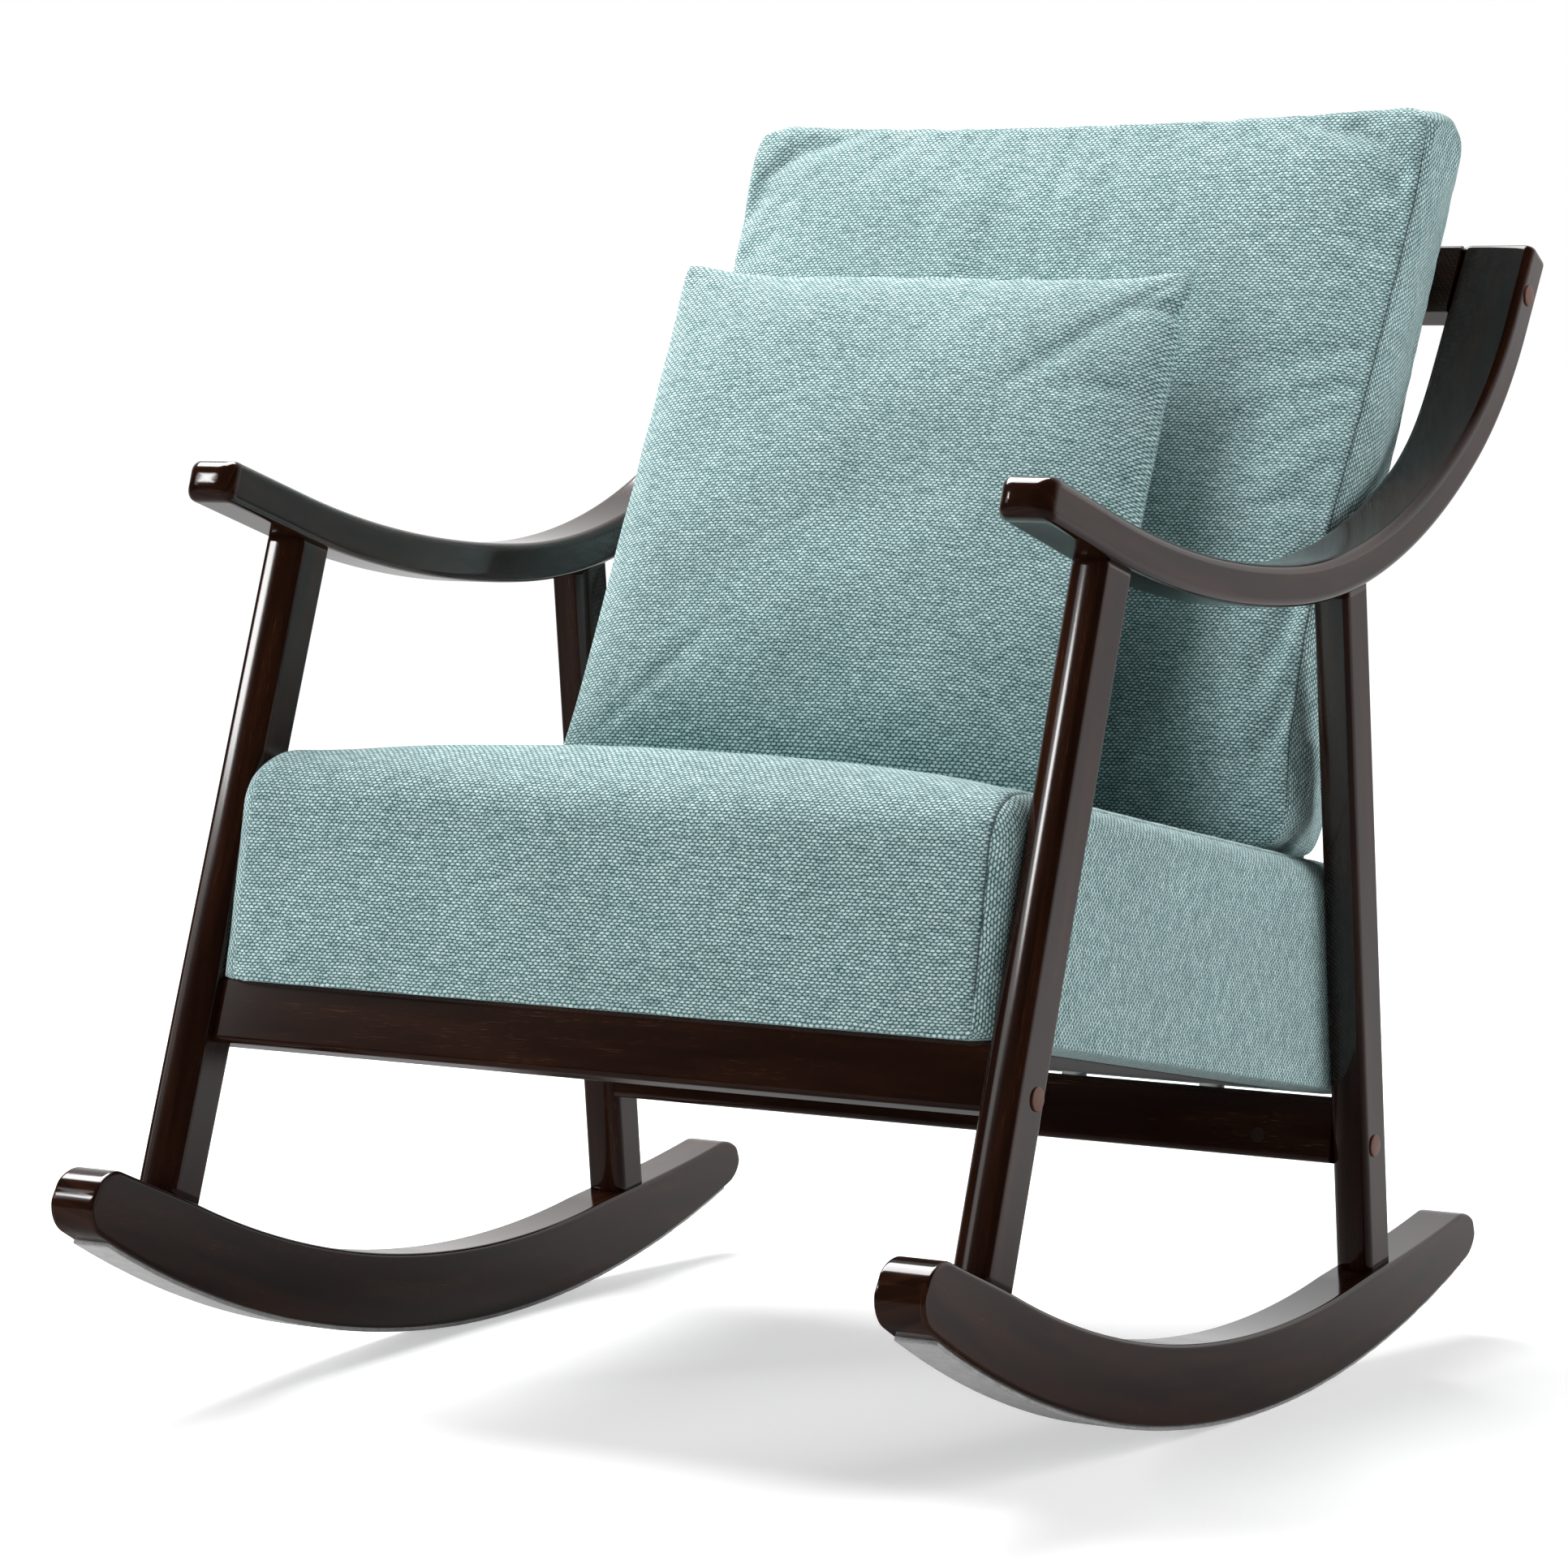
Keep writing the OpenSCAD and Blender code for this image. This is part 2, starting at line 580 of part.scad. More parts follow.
// seat, in the frame of its underside: X across, Y to the rear, Z up
module on_seat() {
    on(seat_o, seat_a) children();
}
ring_n = 44;
function side_step(k) = let (t = 2 * k / (ring_n / 4) - 1) 0.6 * t + 0.4 * sin(90 * t);
function square_point(j) = let (q = floor(j * 4 / ring_n), t = side_step(j % (ring_n / 4)))
    q == 0 ? [1, t] : q == 1 ? [-t, 1] : q == 2 ? [-1, -t] : [t, -1];
function outline(a, b, n, draw) = [for (j = [0 : ring_n - 1]) let (p = square_point(j),
    k = pow(pow(abs(p[0]), n) + pow(abs(p[1]), n), -1 / n), x = p[0] * k, y = p[1] * k)
    [x * (a - draw * (1 - y * y)), y * (b - draw * (1 - x * x))]];
seat_square_n = 40;
seat_unit = outline(1, 1, seat_square_n, 0);
function seat_r_at(y) = seat_side_r + (seat_front_r - seat_side_r) * ease(clamp01((-y - 0.55) / 0.35));
function seat_top_crown(x, y) = seat_crown * (1 - pow(abs(x), 2.6)) * (1 - pow(abs(y * 0.9 + 0.25) / 1.15, 3))
    * (1 - 0.75 * ease(clamp01((y - 0.1) / 0.5)));
// one ring of the seat: drawn in by k of the edge radius, up to k of its height
function seat_side_ring(z) = [for (p = seat_unit) let (
    w = seat_w / 2 + seat_swell * sin(180 * clamp01(z / seat_h)) * (1 - pow(abs(p[1]), 6)),
    l = seat_len / 2)
    [p[0] * w, l + p[1] * l, z * (1 - seat_r_at(p[1]) / seat_h)]];
function seat_edge_ring(a) = [for (p = seat_unit) let (r = seat_r_at(p[1]), i = r * (1 - cos(a)))
    [p[0] * (seat_w / 2 - i), seat_len / 2 + p[1] * (seat_len / 2 - i), seat_h - r * (1 - sin(a))]];
function seat_top_ring(k) = [for (p = seat_unit) let (r = seat_r_at(p[1]), x = p[0] * k, y = p[1] * k)
    [x * (seat_w / 2 - r), seat_len / 2 + y * (seat_len / 2 - r), seat_h + seat_top_crown(x, y)]];
module seat_body() {
    skin(concat([for (z = [0, 0.2, 0.45, 0.7, 0.9]) seat_side_ring(z * seat_h)],
        [for (a = [0, 22, 45, 68, 90]) seat_edge_ring(a)],
        [for (k = [0.93, 0.85, 0.75, 0.62, 0.48, 0.32, 0.16]) seat_top_ring(k)]));
}
// block that fills the seat up to a height, drawn in by d all round, its upper edges cut
module seat_block(d, z0, z1) {
    l = seat_len;
    w = seat_w / 2;
    f = seat_front_r * 0.75;
    s = seat_side_r * 0.75;
    intersection() {
        rotate([90, 0, 90]) translate([0, 0, -w]) linear_extrude(2 * w)
            polygon([[d, z0], [l - d, z0], [l - d, seat_h - d - s], [l - d - s, seat_h - d],
                [d + f, seat_h - d], [d, seat_h - d - f]]);
        rotate([90, 0, 0]) translate([0, 0, -l]) linear_extrude(l)
            polygon([[-w + d, z0], [w - d, z0], [w - d, seat_h - d - s], [w - d - s, seat_h - d],
                [-w + d + s, seat_h - d], [-w + d, seat_h - d - s]]);
        translate([-w, 0, z0]) cube([2 * w, l, z1 - z0]);
    }
}
base_z = dust_t + skin_fit;
base_in = seat_wall + skin_fit;
foam_z = base_z + base_h + strap_t;
module seat_cover() {
    difference() {
        on_seat() seat_body();
        on_seat() seat_block(seat_wall, dust_t, seat_h);
        on_seat() translate([-seat_w / 2 + flange_w, flange_w, -1])
            cube([seat_w - 2 * flange_w, seat_len - 2 * flange_w, dust_t + 2]);
        slat_screw_set(skin_fit, 1);
        seat_screw_set(bolt_fit, 1);
    }
}
module seat_base_frame() {
    l = seat_len - 2 * base_in;
    w = seat_w - 2 * base_in;
    difference() {
        on_seat() translate([-w / 2, base_in, base_z]) cube([w, l, base_h]);
        for (k = [-1, 1]) on_seat() translate([(k < 0 ? -w / 2 + base_w : base_w / 2), base_in + base_w, -1])
            cube([w / 2 - 1.5 * base_w, l - 2 * base_w, base_h + 10]);
        slat_screw_set(skin_fit, 1);
        seat_screw_set(bolt_fit, 1);
    }
}
module seat_webbing() {
    l = seat_len - 2 * base_in;
    w = seat_w - 2 * base_in - strap_w - 20;
    for (i = [0 : strap_n - 1]) on_seat()
        translate([-w / 2 + i * w / (strap_n - 1) - strap_w / 2, base_in + 5, base_z + base_h])
        cube([strap_w, l - 10, strap_t]);
}
module seat_foam() {
    on_seat() seat_block(base_in, foam_z, seat_h - 1);
}
module seat_dust_cover() {
    d = flange_w + skin_fit;
    on_seat() translate([-seat_w / 2 + d, d, 0]) cube([seat_w - 2 * d, seat_len - 2 * d, dust_t]);
}
// places of the spacers and of the seat screws, in from the ends of the rails
spacer_in = [210, 100];
seat_screw_x = leg_in - spacer_in[1];
seat_screw_len = 30;
module seat_spacers() {
    difference() {
        for (x = spacer_in) both() on(seat_o, seat_a)
            translate([leg_in - x, rear_rail_s + rear_rail_t / 2, -spacer_t]) cylinder(d = spacer_d, h = spacer_t);
        seat_screw_set(bolt_fit, 1);
    }
}
// screws that hold the seat down: heads under the rails, points in the seat's wooden frame
front_screw_s = 14.5;
module seat_screw_set(grow = 0, long = 0) {
    for (q = [[front_screw_s, front_rail_h - 6], [rear_rail_s + rear_rail_t / 2, rear_rail_h + spacer_t]])
        both() on(seat_o, seat_a) translate([seat_screw_x, q[0], 0]) {
            translate([0, 0, -q[1] - long]) cylinder(d = screw_head_d + 2 * grow, h = 12 + grow + long - skin_fit);
            translate([0, 0, -q[1]]) cylinder(d = screw_d + grow, h = q[1] + seat_screw_len + long);
        }
}

// back cushion: X across, Y up along it, Z out of its front
rail_front = in_frame(top_rail_o, top_rail_a, [-top_rail_t, rail_r * 0.6]);
// middle of the cushion, from its rest on the top rail and on the seat
cushion_out = dir(180 - back_lean);
cushion_up = dir(90 - back_lean);
// place along the seat where the cushion sits, and the share of its drawn-in lower edge there
sit_s = 440;
sit_share = 0.43;
sit_point = in_frame(seat_o, seat_a, [sit_s, seat_h + seat_top_crown(0, 2 * sit_s / seat_len - 1)]);
function along(p, d) = p * d;
// share of the rear crown that the cushion has where it meets the top rail
rest_share = 0.675;
back_mid_v = along(rail_front, cushion_out) + rest_gap + rest_share * back_rear_crown + back_t / 2;
// height of the sitting point's foot on the cushion's underside, up from its front lower edge
sit_rise = (back_mid_v + back_t / 2 - along(sit_point, cushion_out)) / back_t * back_rise;
back_mid_u = along(sit_point, cushion_up) + sit_gap + back_h / 2 - sit_rise - sit_share * back_draw;
back_mid = back_mid_u * cushion_up + back_mid_v * cushion_out;
module on_back() {
    on(back_mid, 90 - back_lean) children();
}
pad_square_n = 14;
function pad_outline(a, b, draw) = outline(a, b, pad_square_n, draw);
function pad_point(x, y, z, b) = [x, y + back_rise * (0.5 - z / back_t) * ease(clamp01(-y / b * 1.5 - 0.5)), z];
function pad_face(a, b, draw, z, crown, side, scales) = [for (k = scales)
    [for (p = pad_outline(a, b, draw)) let (x = p[0] * k, y = p[1] * k)
        pad_point(x, y, side * (z + crown * (1 - pow(abs(x / a), 2.4)) * (1 - pow(abs(y / b), 2.4))), b)]];
front_scales = [0.14, 0.3, 0.45, 0.58, 0.7, 0.8, 0.88, 0.94, 0.98, 1];
rear_scales = [1, 0.97, 0.9, 0.75, 0.5, 0.2];
side_scales = [0.6, 0.2, -0.2, -0.6];
inner_front = [0.3, 0.65, 0.9, 1];
inner_rear = [1, 0.9, 0.65, 0.3];
// body of the cushion drawn in by d, with rings at shares of its front, its sides and its rear
module pad_body(d, front, sides, rear) {
    a = back_w / 2 - d;
    b = back_h / 2 - d;
    t = back_t / 2 - d;
    rings = concat(pad_face(a, b, back_draw, t, back_crown, 1, front),
        [for (z = sides) let (g = back_swell * (1 - z * z))
            [for (p = pad_outline(a + g, b + g, back_draw)) pad_point(p[0], p[1], z * t, b)]],
        pad_face(a, b, back_draw, t, back_rear_crown, -1, rear));
    skin([for (i = [len(rings) - 1 : -1 : 0]) rings[i]]);
}
zip_len = 420;
zip_w = 6;
zip_t = 2.5;
zip_y = -back_h / 2 - back_swell + back_draw + back_rise / 2;
module back_cushion_cover() {
    on_back() difference() {
        pad_body(0, front_scales, side_scales, rear_scales);
        pad_body(back_wall, inner_front, [], inner_rear);
        translate([-zip_len / 2 - skin_fit, -back_h / 2 - back_swell - 1, -zip_w / 2 - skin_fit])
            cube([zip_len + 2 * skin_fit, back_draw + back_rise / 2 + 1 + zip_t + skin_fit, zip_w + 2 * skin_fit]);
    }
}
module back_cushion_zip() {
    on_back() translate([-zip_len / 2, zip_y, -zip_w / 2]) cube([zip_len, zip_t, zip_w]);
}
// bag of loose filling inside the cover, with walls across it that keep the filling in its chambers
bag_t = 4;
bag_gap = 1.4;
chamber_n = 4;
module back_cushion_inner_bag() {
    d = back_wall + bag_gap;
    w = (back_w - 2 * d) / chamber_n;
    on_back() difference() {
        pad_body(d, inner_front, [], inner_rear);
        intersection() {
            pad_body(d + bag_t, inner_front, [], inner_rear);
            for (i = [0 : chamber_n - 1]) translate([(i - chamber_n / 2) * w + bag_t / 2, -back_h, -back_h])
                cube([w - bag_t, 2 * back_h, 2 * back_h]);
        }
    }
}

// pillow: a knife-edge case whose corners reach out as ears
pillow_square_n = 22;
// clear of the back cushion's crown, which it meets turned and at a steeper lean
pillow_gap = 9.35;
// place along the seat where the pillow's lower edge stands, and how far its rounding sinks below the edge
pillow_sit_s = 300;
pillow_sink = 6.6;
pillow_front = along(back_mid, cushion_out) + back_t / 2 + back_crown + pillow_gap;
pillow_v = pillow_front + pillow_t / 2 / cos(pillow_turn);
pillow_u = along(in_frame(seat_o, seat_a, [pillow_sit_s, seat_h + seat_crown]), cushion_up)
    + pillow_h / 2 - pillow_sink;
pillow_mid = pillow_u * cushion_up + pillow_v * cushion_out;
module on_pillow() {
    translate([pillow_x, pillow_mid[0], pillow_mid[1]]) rotate([0, 0, pillow_turn])
        rotate([90 - pillow_lean, 0, 0]) rotate([0, 0, -pillow_roll]) children();
}
pillow_scales = [0.1, 0.25, 0.4, 0.54, 0.67, 0.78, 0.87, 0.94, 0.98];
pillow_edge_t = 3;
// ring at a share k of the outline, its height drawn in by d and its outline by as much
function pillow_ring(k, side, d = 0) = [for (p = outline(pillow_w / 2, pillow_h / 2, pillow_square_n, pillow_draw))
    let (x = p[0] * k, y = p[1] * k, u = x / pillow_w * 2, v = y / pillow_h * 2, s = 1 - 2 * d / pillow_w)
    [x * s, y * s, side * (pillow_edge_t / 2 - d + (pillow_t - pillow_edge_t) / 2
        * pow(max(0, 1 - pow(abs(k), 2.2)), 0.55) * (1 - 0.25 * u * u * v * v))]];
module pillow_body(d, scales, edge) {
    skin(concat([for (k = scales) pillow_ring(k, -1, d)],
        [pillow_ring(edge, 0, d)],
        [for (i = [len(scales) - 1 : -1 : 0]) pillow_ring(scales[i], 1, d)]));
}
pillow_inner = [0.2, 0.5, 0.73, 0.85];
pillow_inner_edge = 0.9;
pillow_zip_len = 300;
pillow_zip_w = 5;
pillow_zip_t = 1.6;
pillow_zip_in = 1;
pillow_zip_y = -pillow_h / 2 + pillow_draw + pillow_zip_in;
module pillow_zip_bar(grow = 0, out = 0) {
    translate([-pillow_zip_len / 2 - grow, pillow_zip_y - out, -pillow_zip_t / 2 - grow])
        cube([pillow_zip_len + 2 * grow, pillow_zip_w + out + grow, pillow_zip_t + 2 * grow]);
}
module pillow_cover() {
    on_pillow() difference() {
        pillow_body(0, pillow_scales, 1);
        pillow_body(pillow_wall, pillow_inner, pillow_inner_edge);
        pillow_zip_bar(skin_fit, pillow_draw);
    }
}

module pillow_inner_bag() {
    on_pillow() difference() {
        pillow_body(pillow_wall + bag_gap, pillow_inner, pillow_inner_edge);
        pillow_body(pillow_wall + bag_gap + bag_t, pillow_inner, pillow_inner_edge);
    }
}

// felt strip, pressed flat where the chair stands
felt_from = -rocker_front_a + 2;
felt_to = rocker_rear_a - 1.5;
felt_press = felt_flat * felt_flat / 8 / (rocker_r + felt_t);
felt_n = 40;
felt_glue = 0.1;
module felt_strip() {
    m = rocker_out - rocker_w / 2;
    r1 = rocker_r + felt_t + felt_press;
    difference() {
        side_plate(m - felt_w / 2, m + felt_w / 2) polygon(concat(
            [for (i = [0 : felt_n]) rocker_c + (rocker_r + felt_glue) * dir(felt_from + i * (felt_to - felt_from) / felt_n - 90)],
            [for (i = [felt_n : -1 : 0]) rocker_c + r1 * dir(felt_from + i * (felt_to - felt_from) / felt_n - 90)]));
        translate([-far / 2, -far / 2, -far]) cube([far, far, far]);
    }
}

module rocker_right() {
    color(wood) difference() {
        rocker();
        front_leg_pins(dowel_fit, pin_room);
        rear_leg_pins(dowel_fit, pin_room);
    }
}
module rocker_left() { mirror([1, 0, 0]) rocker_right(); }
module felt_strip_right() { color([0.6, 0.6, 0.6]) felt_strip(); }
module felt_strip_left() { mirror([1, 0, 0]) felt_strip_right(); }
module leg_bolt_holes(j) {
    along_x(j[1] - recess, j[1] + 1, j[0], head_d + 2 * bolt_fit);
    along_x(j[2] - 1, j[1] - recess + eps, j[0], bolt_d + bolt_fit);
}
module front_leg_right() {
    color(wood) difference() {
        leg(front_leg_o, -front_leg_lean, front_leg_d);
        front_leg_pins(dowel_fit, pin_room);
        leg_bolt_holes(joints[0]);
        rail_pins(front_pin, leg_in, dowel_fit, pin_room);
    }
}
module front_leg_left() { mirror([1, 0, 0]) front_leg_right(); }
module rear_leg_right() {
    color(wood) difference() {
        leg(rear_leg_o, rear_leg_lean, rear_leg_d);
        rear_leg_pins(dowel_fit, pin_room);
        leg_bolt_holes(joints[1]);
        rail_pins(rear_pin, leg_in, dowel_fit, pin_room);
    }
}
module rear_leg_left() { mirror([1, 0, 0]) rear_leg_right(); }
module arm_right() {
    color(wood) difference() {
        arm();
        front_leg_pins(dowel_fit, pin_room);
        rear_leg_pins(dowel_fit, pin_room);
        leg_bolt_holes(joints[2]);
        rail_pins(top_pin, arm_in, dowel_fit, pin_room);
    }
}
module arm_left() { mirror([1, 0, 0]) arm_right(); }
module frame_bolts() { color(steel) for (j = joints) bolt(j); }
module barrel_nuts() {
    color(steel) difference() {
        for (j = joints) nut_place(j) translate([0, 0, j[4] / 2 - plug_t - 0.4 - nut_len]) cylinder(d = nut_d, h = nut_len);
        for (j = joints) bolt(j, eps, 1);
    }
}
module barrel_nut_plugs() {
    color([0.35, 0.18, 0.12]) for (j = joints)
        nut_place(j) translate([0, 0, j[4] / 2 - plug_t]) cylinder(d = nut_d, h = plug_t);
}
cap_plug = 4;
module bolt_caps() {
    color([0.45, 0.24, 0.17]) for (j = joints) both() {
        along_x(j[1], j[1] + cap_t, j[0], cap_d);
        along_x(j[1] - cap_plug, j[1] + eps, j[0], head_d + 2 * bolt_fit - dowel_fit);
    }
}
module rail_dowels() {
    color("tan") for (p = pins) rail_pins(p[0], p[1]);
}
module leg_dowels() {
    color("tan") both() {
        front_leg_pins();
        rear_leg_pins();
    }
}
module slat_screws() { color(steel) slat_screw_set(); }
module seat_screws() { color(steel) seat_screw_set(); }
module pillow_zip() { color(fabric) on_pillow() pillow_zip_bar(); }

rocker_left();
rocker_right();
felt_strip_left();
felt_strip_right();
front_leg_left();
front_leg_right();
rear_leg_left();
rear_leg_right();
arm_left();
arm_right();
color(wood) front_rail();
color(wood) rear_rail();
color(wood) top_back_rail();
color(wood) back_slat(0);  // back_slat_1
color(wood) back_slat(1);  // back_slat_2
color(wood) back_slat(2);  // back_slat_3
color(wood) back_slat(3);  // back_slat_4
color(wood) back_slat(4);  // back_slat_5
frame_bolts();
barrel_nuts();
bolt_caps();
barrel_nut_plugs();
rail_dowels();
leg_dowels();
slat_screws();
color(fabric) seat_cover();
color("tan") seat_base_frame();
color("black") seat_webbing();
color("ivory") seat_foam();
color("black") seat_dust_cover();
color("black") seat_spacers();
seat_screws();
color(fabric) back_cushion_cover();
color("ivory") back_cushion_inner_bag();
color(fabric) back_cushion_zip();
color(fabric) pillow_cover();
color("ivory") pillow_inner_bag();
pillow_zip();
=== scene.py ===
import math

import bpy
import numpy as np
from bpy.props import FloatProperty, FloatVectorProperty, PointerProperty
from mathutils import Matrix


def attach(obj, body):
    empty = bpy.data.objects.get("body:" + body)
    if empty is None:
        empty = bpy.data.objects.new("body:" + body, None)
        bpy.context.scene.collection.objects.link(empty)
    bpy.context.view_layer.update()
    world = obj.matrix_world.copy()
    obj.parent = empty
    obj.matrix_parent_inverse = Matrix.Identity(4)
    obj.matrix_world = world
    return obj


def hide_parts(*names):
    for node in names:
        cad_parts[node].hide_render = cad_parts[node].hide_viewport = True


bl_info = {
    "name": "Upholstered rocking chair",
    "version": (1, 0, 0),
    "blender": (4, 5, 0),
    "location": "3D View > Sidebar > Rocking chair",
    "description": "Lacquered frame, woven upholstery and loose cushions around the packed solids",
    "category": "Add Mesh",
}

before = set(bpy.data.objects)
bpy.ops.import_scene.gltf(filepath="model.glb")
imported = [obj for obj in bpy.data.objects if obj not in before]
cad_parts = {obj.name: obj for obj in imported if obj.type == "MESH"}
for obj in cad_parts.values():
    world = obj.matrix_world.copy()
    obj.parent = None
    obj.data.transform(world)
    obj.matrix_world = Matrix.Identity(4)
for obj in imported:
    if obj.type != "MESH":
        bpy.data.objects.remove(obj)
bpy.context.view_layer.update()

# Sizes in millimetres and angles in degrees, as the chair's solids have them. Places in the side view are
# (y, z).
ARM_OUT, ARM_THICK = 331.0, 28.5
ARM_START, ARM_SLOPE = np.array([-300.0, 621.5]), -17.7
ARM_FORE, ARM_AFT = 89, 62
ARM_BENDS = ((925, 16.4), (478, 35.9), (294, 23.4))
ARM_CUTS = np.cumsum([0, ARM_FORE, *(radius * math.radians(turn) for radius, turn in ARM_BENDS), ARM_AFT])
ARM_LEN = ARM_CUTS[-1]
ARM_WIDTHS = (39.5, 44.0, 55.5)
ARM_EDGE, ARM_TIP_ROUND, ARM_TOP_ROUND = 6, 11, 4
LEG_OUT, LEG_IN = 325.5, 296.5
LEG_ROUND, LEG_PRESSED = 20, 0.45
FRONT_LEG = (np.array([-381.0, 0.0]), -19.3, 36.5)
REAR_LEG = (np.array([221.0, 0.0]), 5.8, 33.5)
ROCKER_OUT, ROCKER_W, ROCKER_R = 330.0, 35.4, 939.0
ROCKER_MID = np.array([31.0, 942.0])
ROCKER_FROM, ROCKER_TO = -31.4, 20.1
ROCKER_DEPTHS = (43, 53, 32)
ROCKER_EDGE, ROCKER_TIP_ROUND = 2.5, 20
FELT_IN, FELT_OUT, FELT_THICK, FELT_SUNK = 297.8, 326.8, 3.0, 0.2
FELT_FROM, FELT_TO = -29.4, 18.6
CAPS = ((-305.355, 252.316, 325.5), (184.732, 155.944, 325.5), (421.274, 743.685, 331.0))
CAP_R, CAP_RIM, CAP_RISE = 7.75, 0.5, 1.35
SEAT_O, SEAT_SLOPE, SEAT_LEN, SEAT_H = np.array([-315.0, 286.7]), -11.0, 530.0, 160.0
SEAT_HALF, SEAT_NOSE, SEAT_TAIL, SEAT_SIDE, SEAT_EDGE = 296.2, 40, 24, 24, 12
SEAT_SEAMS = {"right": 283.0, "left": 294.0}
SEAT_FACE_ROWS = 18
LINING_MARGIN, LINING_THICK = 42, 0.8
BACK_O = np.array([0.0, 278.92, 602.844])
BACK_UP = np.array([0.0, 0.4147, 0.90996])
BACK_OUT = np.array([0.0, -0.90996, 0.4147])
BACK_W, BACK_H, BACK_T = 564.0, 562.0, 80.0
BACK_BOXING = 84
PILLOW_O = np.array([-34.0, 114.893, 580.665])
PILLOW_TURNS = (8.5, 62.0, -2.0)
PILLOW_W, PILLOW_H, PILLOW_DOME = 410.0, 430.0, 62

# Folds in the front of the cushions: from a place across and up to another, width and depth
BACK_CREASES = ((262, -30, 205, -42, 5, 1.8), (262, -215, 190, -240, 7, 2.6), (-262, -60, -200, -80, 6, 1.8))
PILLOW_CREASES = ((209, 172, 168, 166, 5, 3.5), (198, 97, 110, 90, 8, 2.4), (-195, 198, -150, 160, 9, 1.2),
                  (60, 200, 30, 120, 12, 1.8))
# Folds across the back cushion's boxing: height, width and depth
BOXING_CREASES = ((-30, 5, 2.0), (-190, 7, 2.6), (120, 8, 1.2))

# The photograph's side and focal length in pixels, the camera's place in metres and its angles in degrees,
# and the floor's half side in millimetres
PHOTO_SIDE_PX, FOCAL_PX = 1932, 6381.3
SENSOR = 36.0
FLOOR_HALF = 60000
EYE_PLACE, EYE_YAW, EYE_PITCH = (1.8244, -3.0652, 0.7309), 31.33, -5.19


# Plain sums

def ease(t):
    """Smooth step: 3 t^2 - 2 t^3 between 0 and 1, level outside."""
    t = np.clip(t, 0, 1)
    return t * t * (3 - 2 * t)


def heading(a):
    """Unit vectors (y, z) at angles a in degrees above the rearward direction."""
    a = np.radians(a)
    return np.stack([np.cos(a), np.sin(a)], -1)


def drawn_in(d, r):
    """How far a rounding of radius r is drawn in at a distance d from its tip: r - sqrt(r^2 - (r -
    d)^2)."""
    d = np.clip(d, 0, r)
    return r - np.sqrt(np.maximum(r * r - (r - d) ** 2, 0))


def ripple(a, b, seed, low, high, count=14):
    """Smooth seeded ripples from about -1 to 1: a sum of sines of a and b, whose wavelengths lie between
    low and high and whose directions and starts are drawn by chance."""
    rng = np.random.default_rng(seed)
    turn = rng.uniform(0, 2 * np.pi, count)
    wave = 2 * np.pi / rng.uniform(low, high, count)
    start = rng.uniform(0, 2 * np.pi, count)
    arg = (np.multiply.outer(a, np.cos(turn) * wave) + np.multiply.outer(b, np.sin(turn) * wave)) + start
    return np.sin(arg).sum(-1) / math.sqrt(count / 2) / 2


def rounded_section(x0, x1, h0, h1, radii, k=7, guard=0.8, most=0.5):
    """Rounded rectangles, one per station: four quarter circles of k points with a guard point before and
    after each. A radius is at most a share of the shorter side."""
    x0, x1, h0, h1 = (np.atleast_1d(np.asarray(v, float))[:, None] for v in (x0, x1, h0, h1))
    room = np.minimum(x1 - x0, h1 - h0) * most - 0.9
    rings = []
    for (right, upper, start), r in zip(((1, 0, -90), (1, 1, 0), (0, 1, 90), (0, 0, 180)), radii):
        r = np.minimum(np.atleast_1d(np.asarray(r, float))[:, None], room)
        cx = x1 - r if right else x0 + r
        ch = h1 - r if upper else h0 + r
        t = np.radians(np.linspace(start, start + 90, k))[None, :]
        px, ph = cx + r * np.cos(t), ch + r * np.sin(t)
        g0, g1 = math.radians(start), math.radians(start + 90)
        px = np.concatenate([px[:, :1] + guard * math.sin(g0), px, px[:, -1:] - guard * math.sin(g1)], 1)
        ph = np.concatenate([ph[:, :1] - guard * math.cos(g0), ph, ph[:, -1:] + guard * math.cos(g1)], 1)
        rings.append(np.stack([px, ph], -1))
    return np.concatenate(rings, 1)


# Meshes

def lattice(points, wrap=False, uv=None, caps=(False, False)):
    """Surface over a grid of points: quads between neighbours, the last column joined to the first where it
    wraps, and a fan about the middle of the first and last row where capped. Returns points, quads,
    triangles and the UV of their corners."""
    n, m = points.shape[:2]
    i, j = np.meshgrid(np.arange(n - 1), np.arange(m if wrap else m - 1), indexing="ij")
    i, j = i.ravel(), j.ravel()
    next_j = (j + 1) % m
    quads = np.stack([i * m + j, (i + 1) * m + j, (i + 1) * m + next_j, i * m + next_j], 1)
    verts = points.reshape(-1, 3)
    if uv is None:
        uv = np.zeros((n, m + 1, 2))
    quad_uv = np.stack([uv[i, j], uv[i + 1, j], uv[i + 1, j + 1], uv[i, j + 1]], 1)
    tris, tri_uv = np.zeros((0, 3), int), np.zeros((0, 3, 2))
    for capped, row in zip(caps, (0, n - 1)):
        if capped:
            hub = len(verts)
            verts = np.concatenate([verts, points[row].mean(0)[None]])
            k = np.arange(m)
            a, b = row * m + k, row * m + (k + 1) % m
            order = (a, b) if row == 0 else (b, a)
            tris = np.concatenate([tris, np.stack([np.full(m, hub), *order], 1)])
            near = (uv[row, k], uv[row, k + 1])
            hub_uv = np.repeat(uv[row, :m].mean(0)[None], m, 0)
            tri_uv = np.concatenate([tri_uv, np.stack([hub_uv, *(near if row == 0 else near[::-1])], 1)])
    return verts, quads, tris, quad_uv, tri_uv


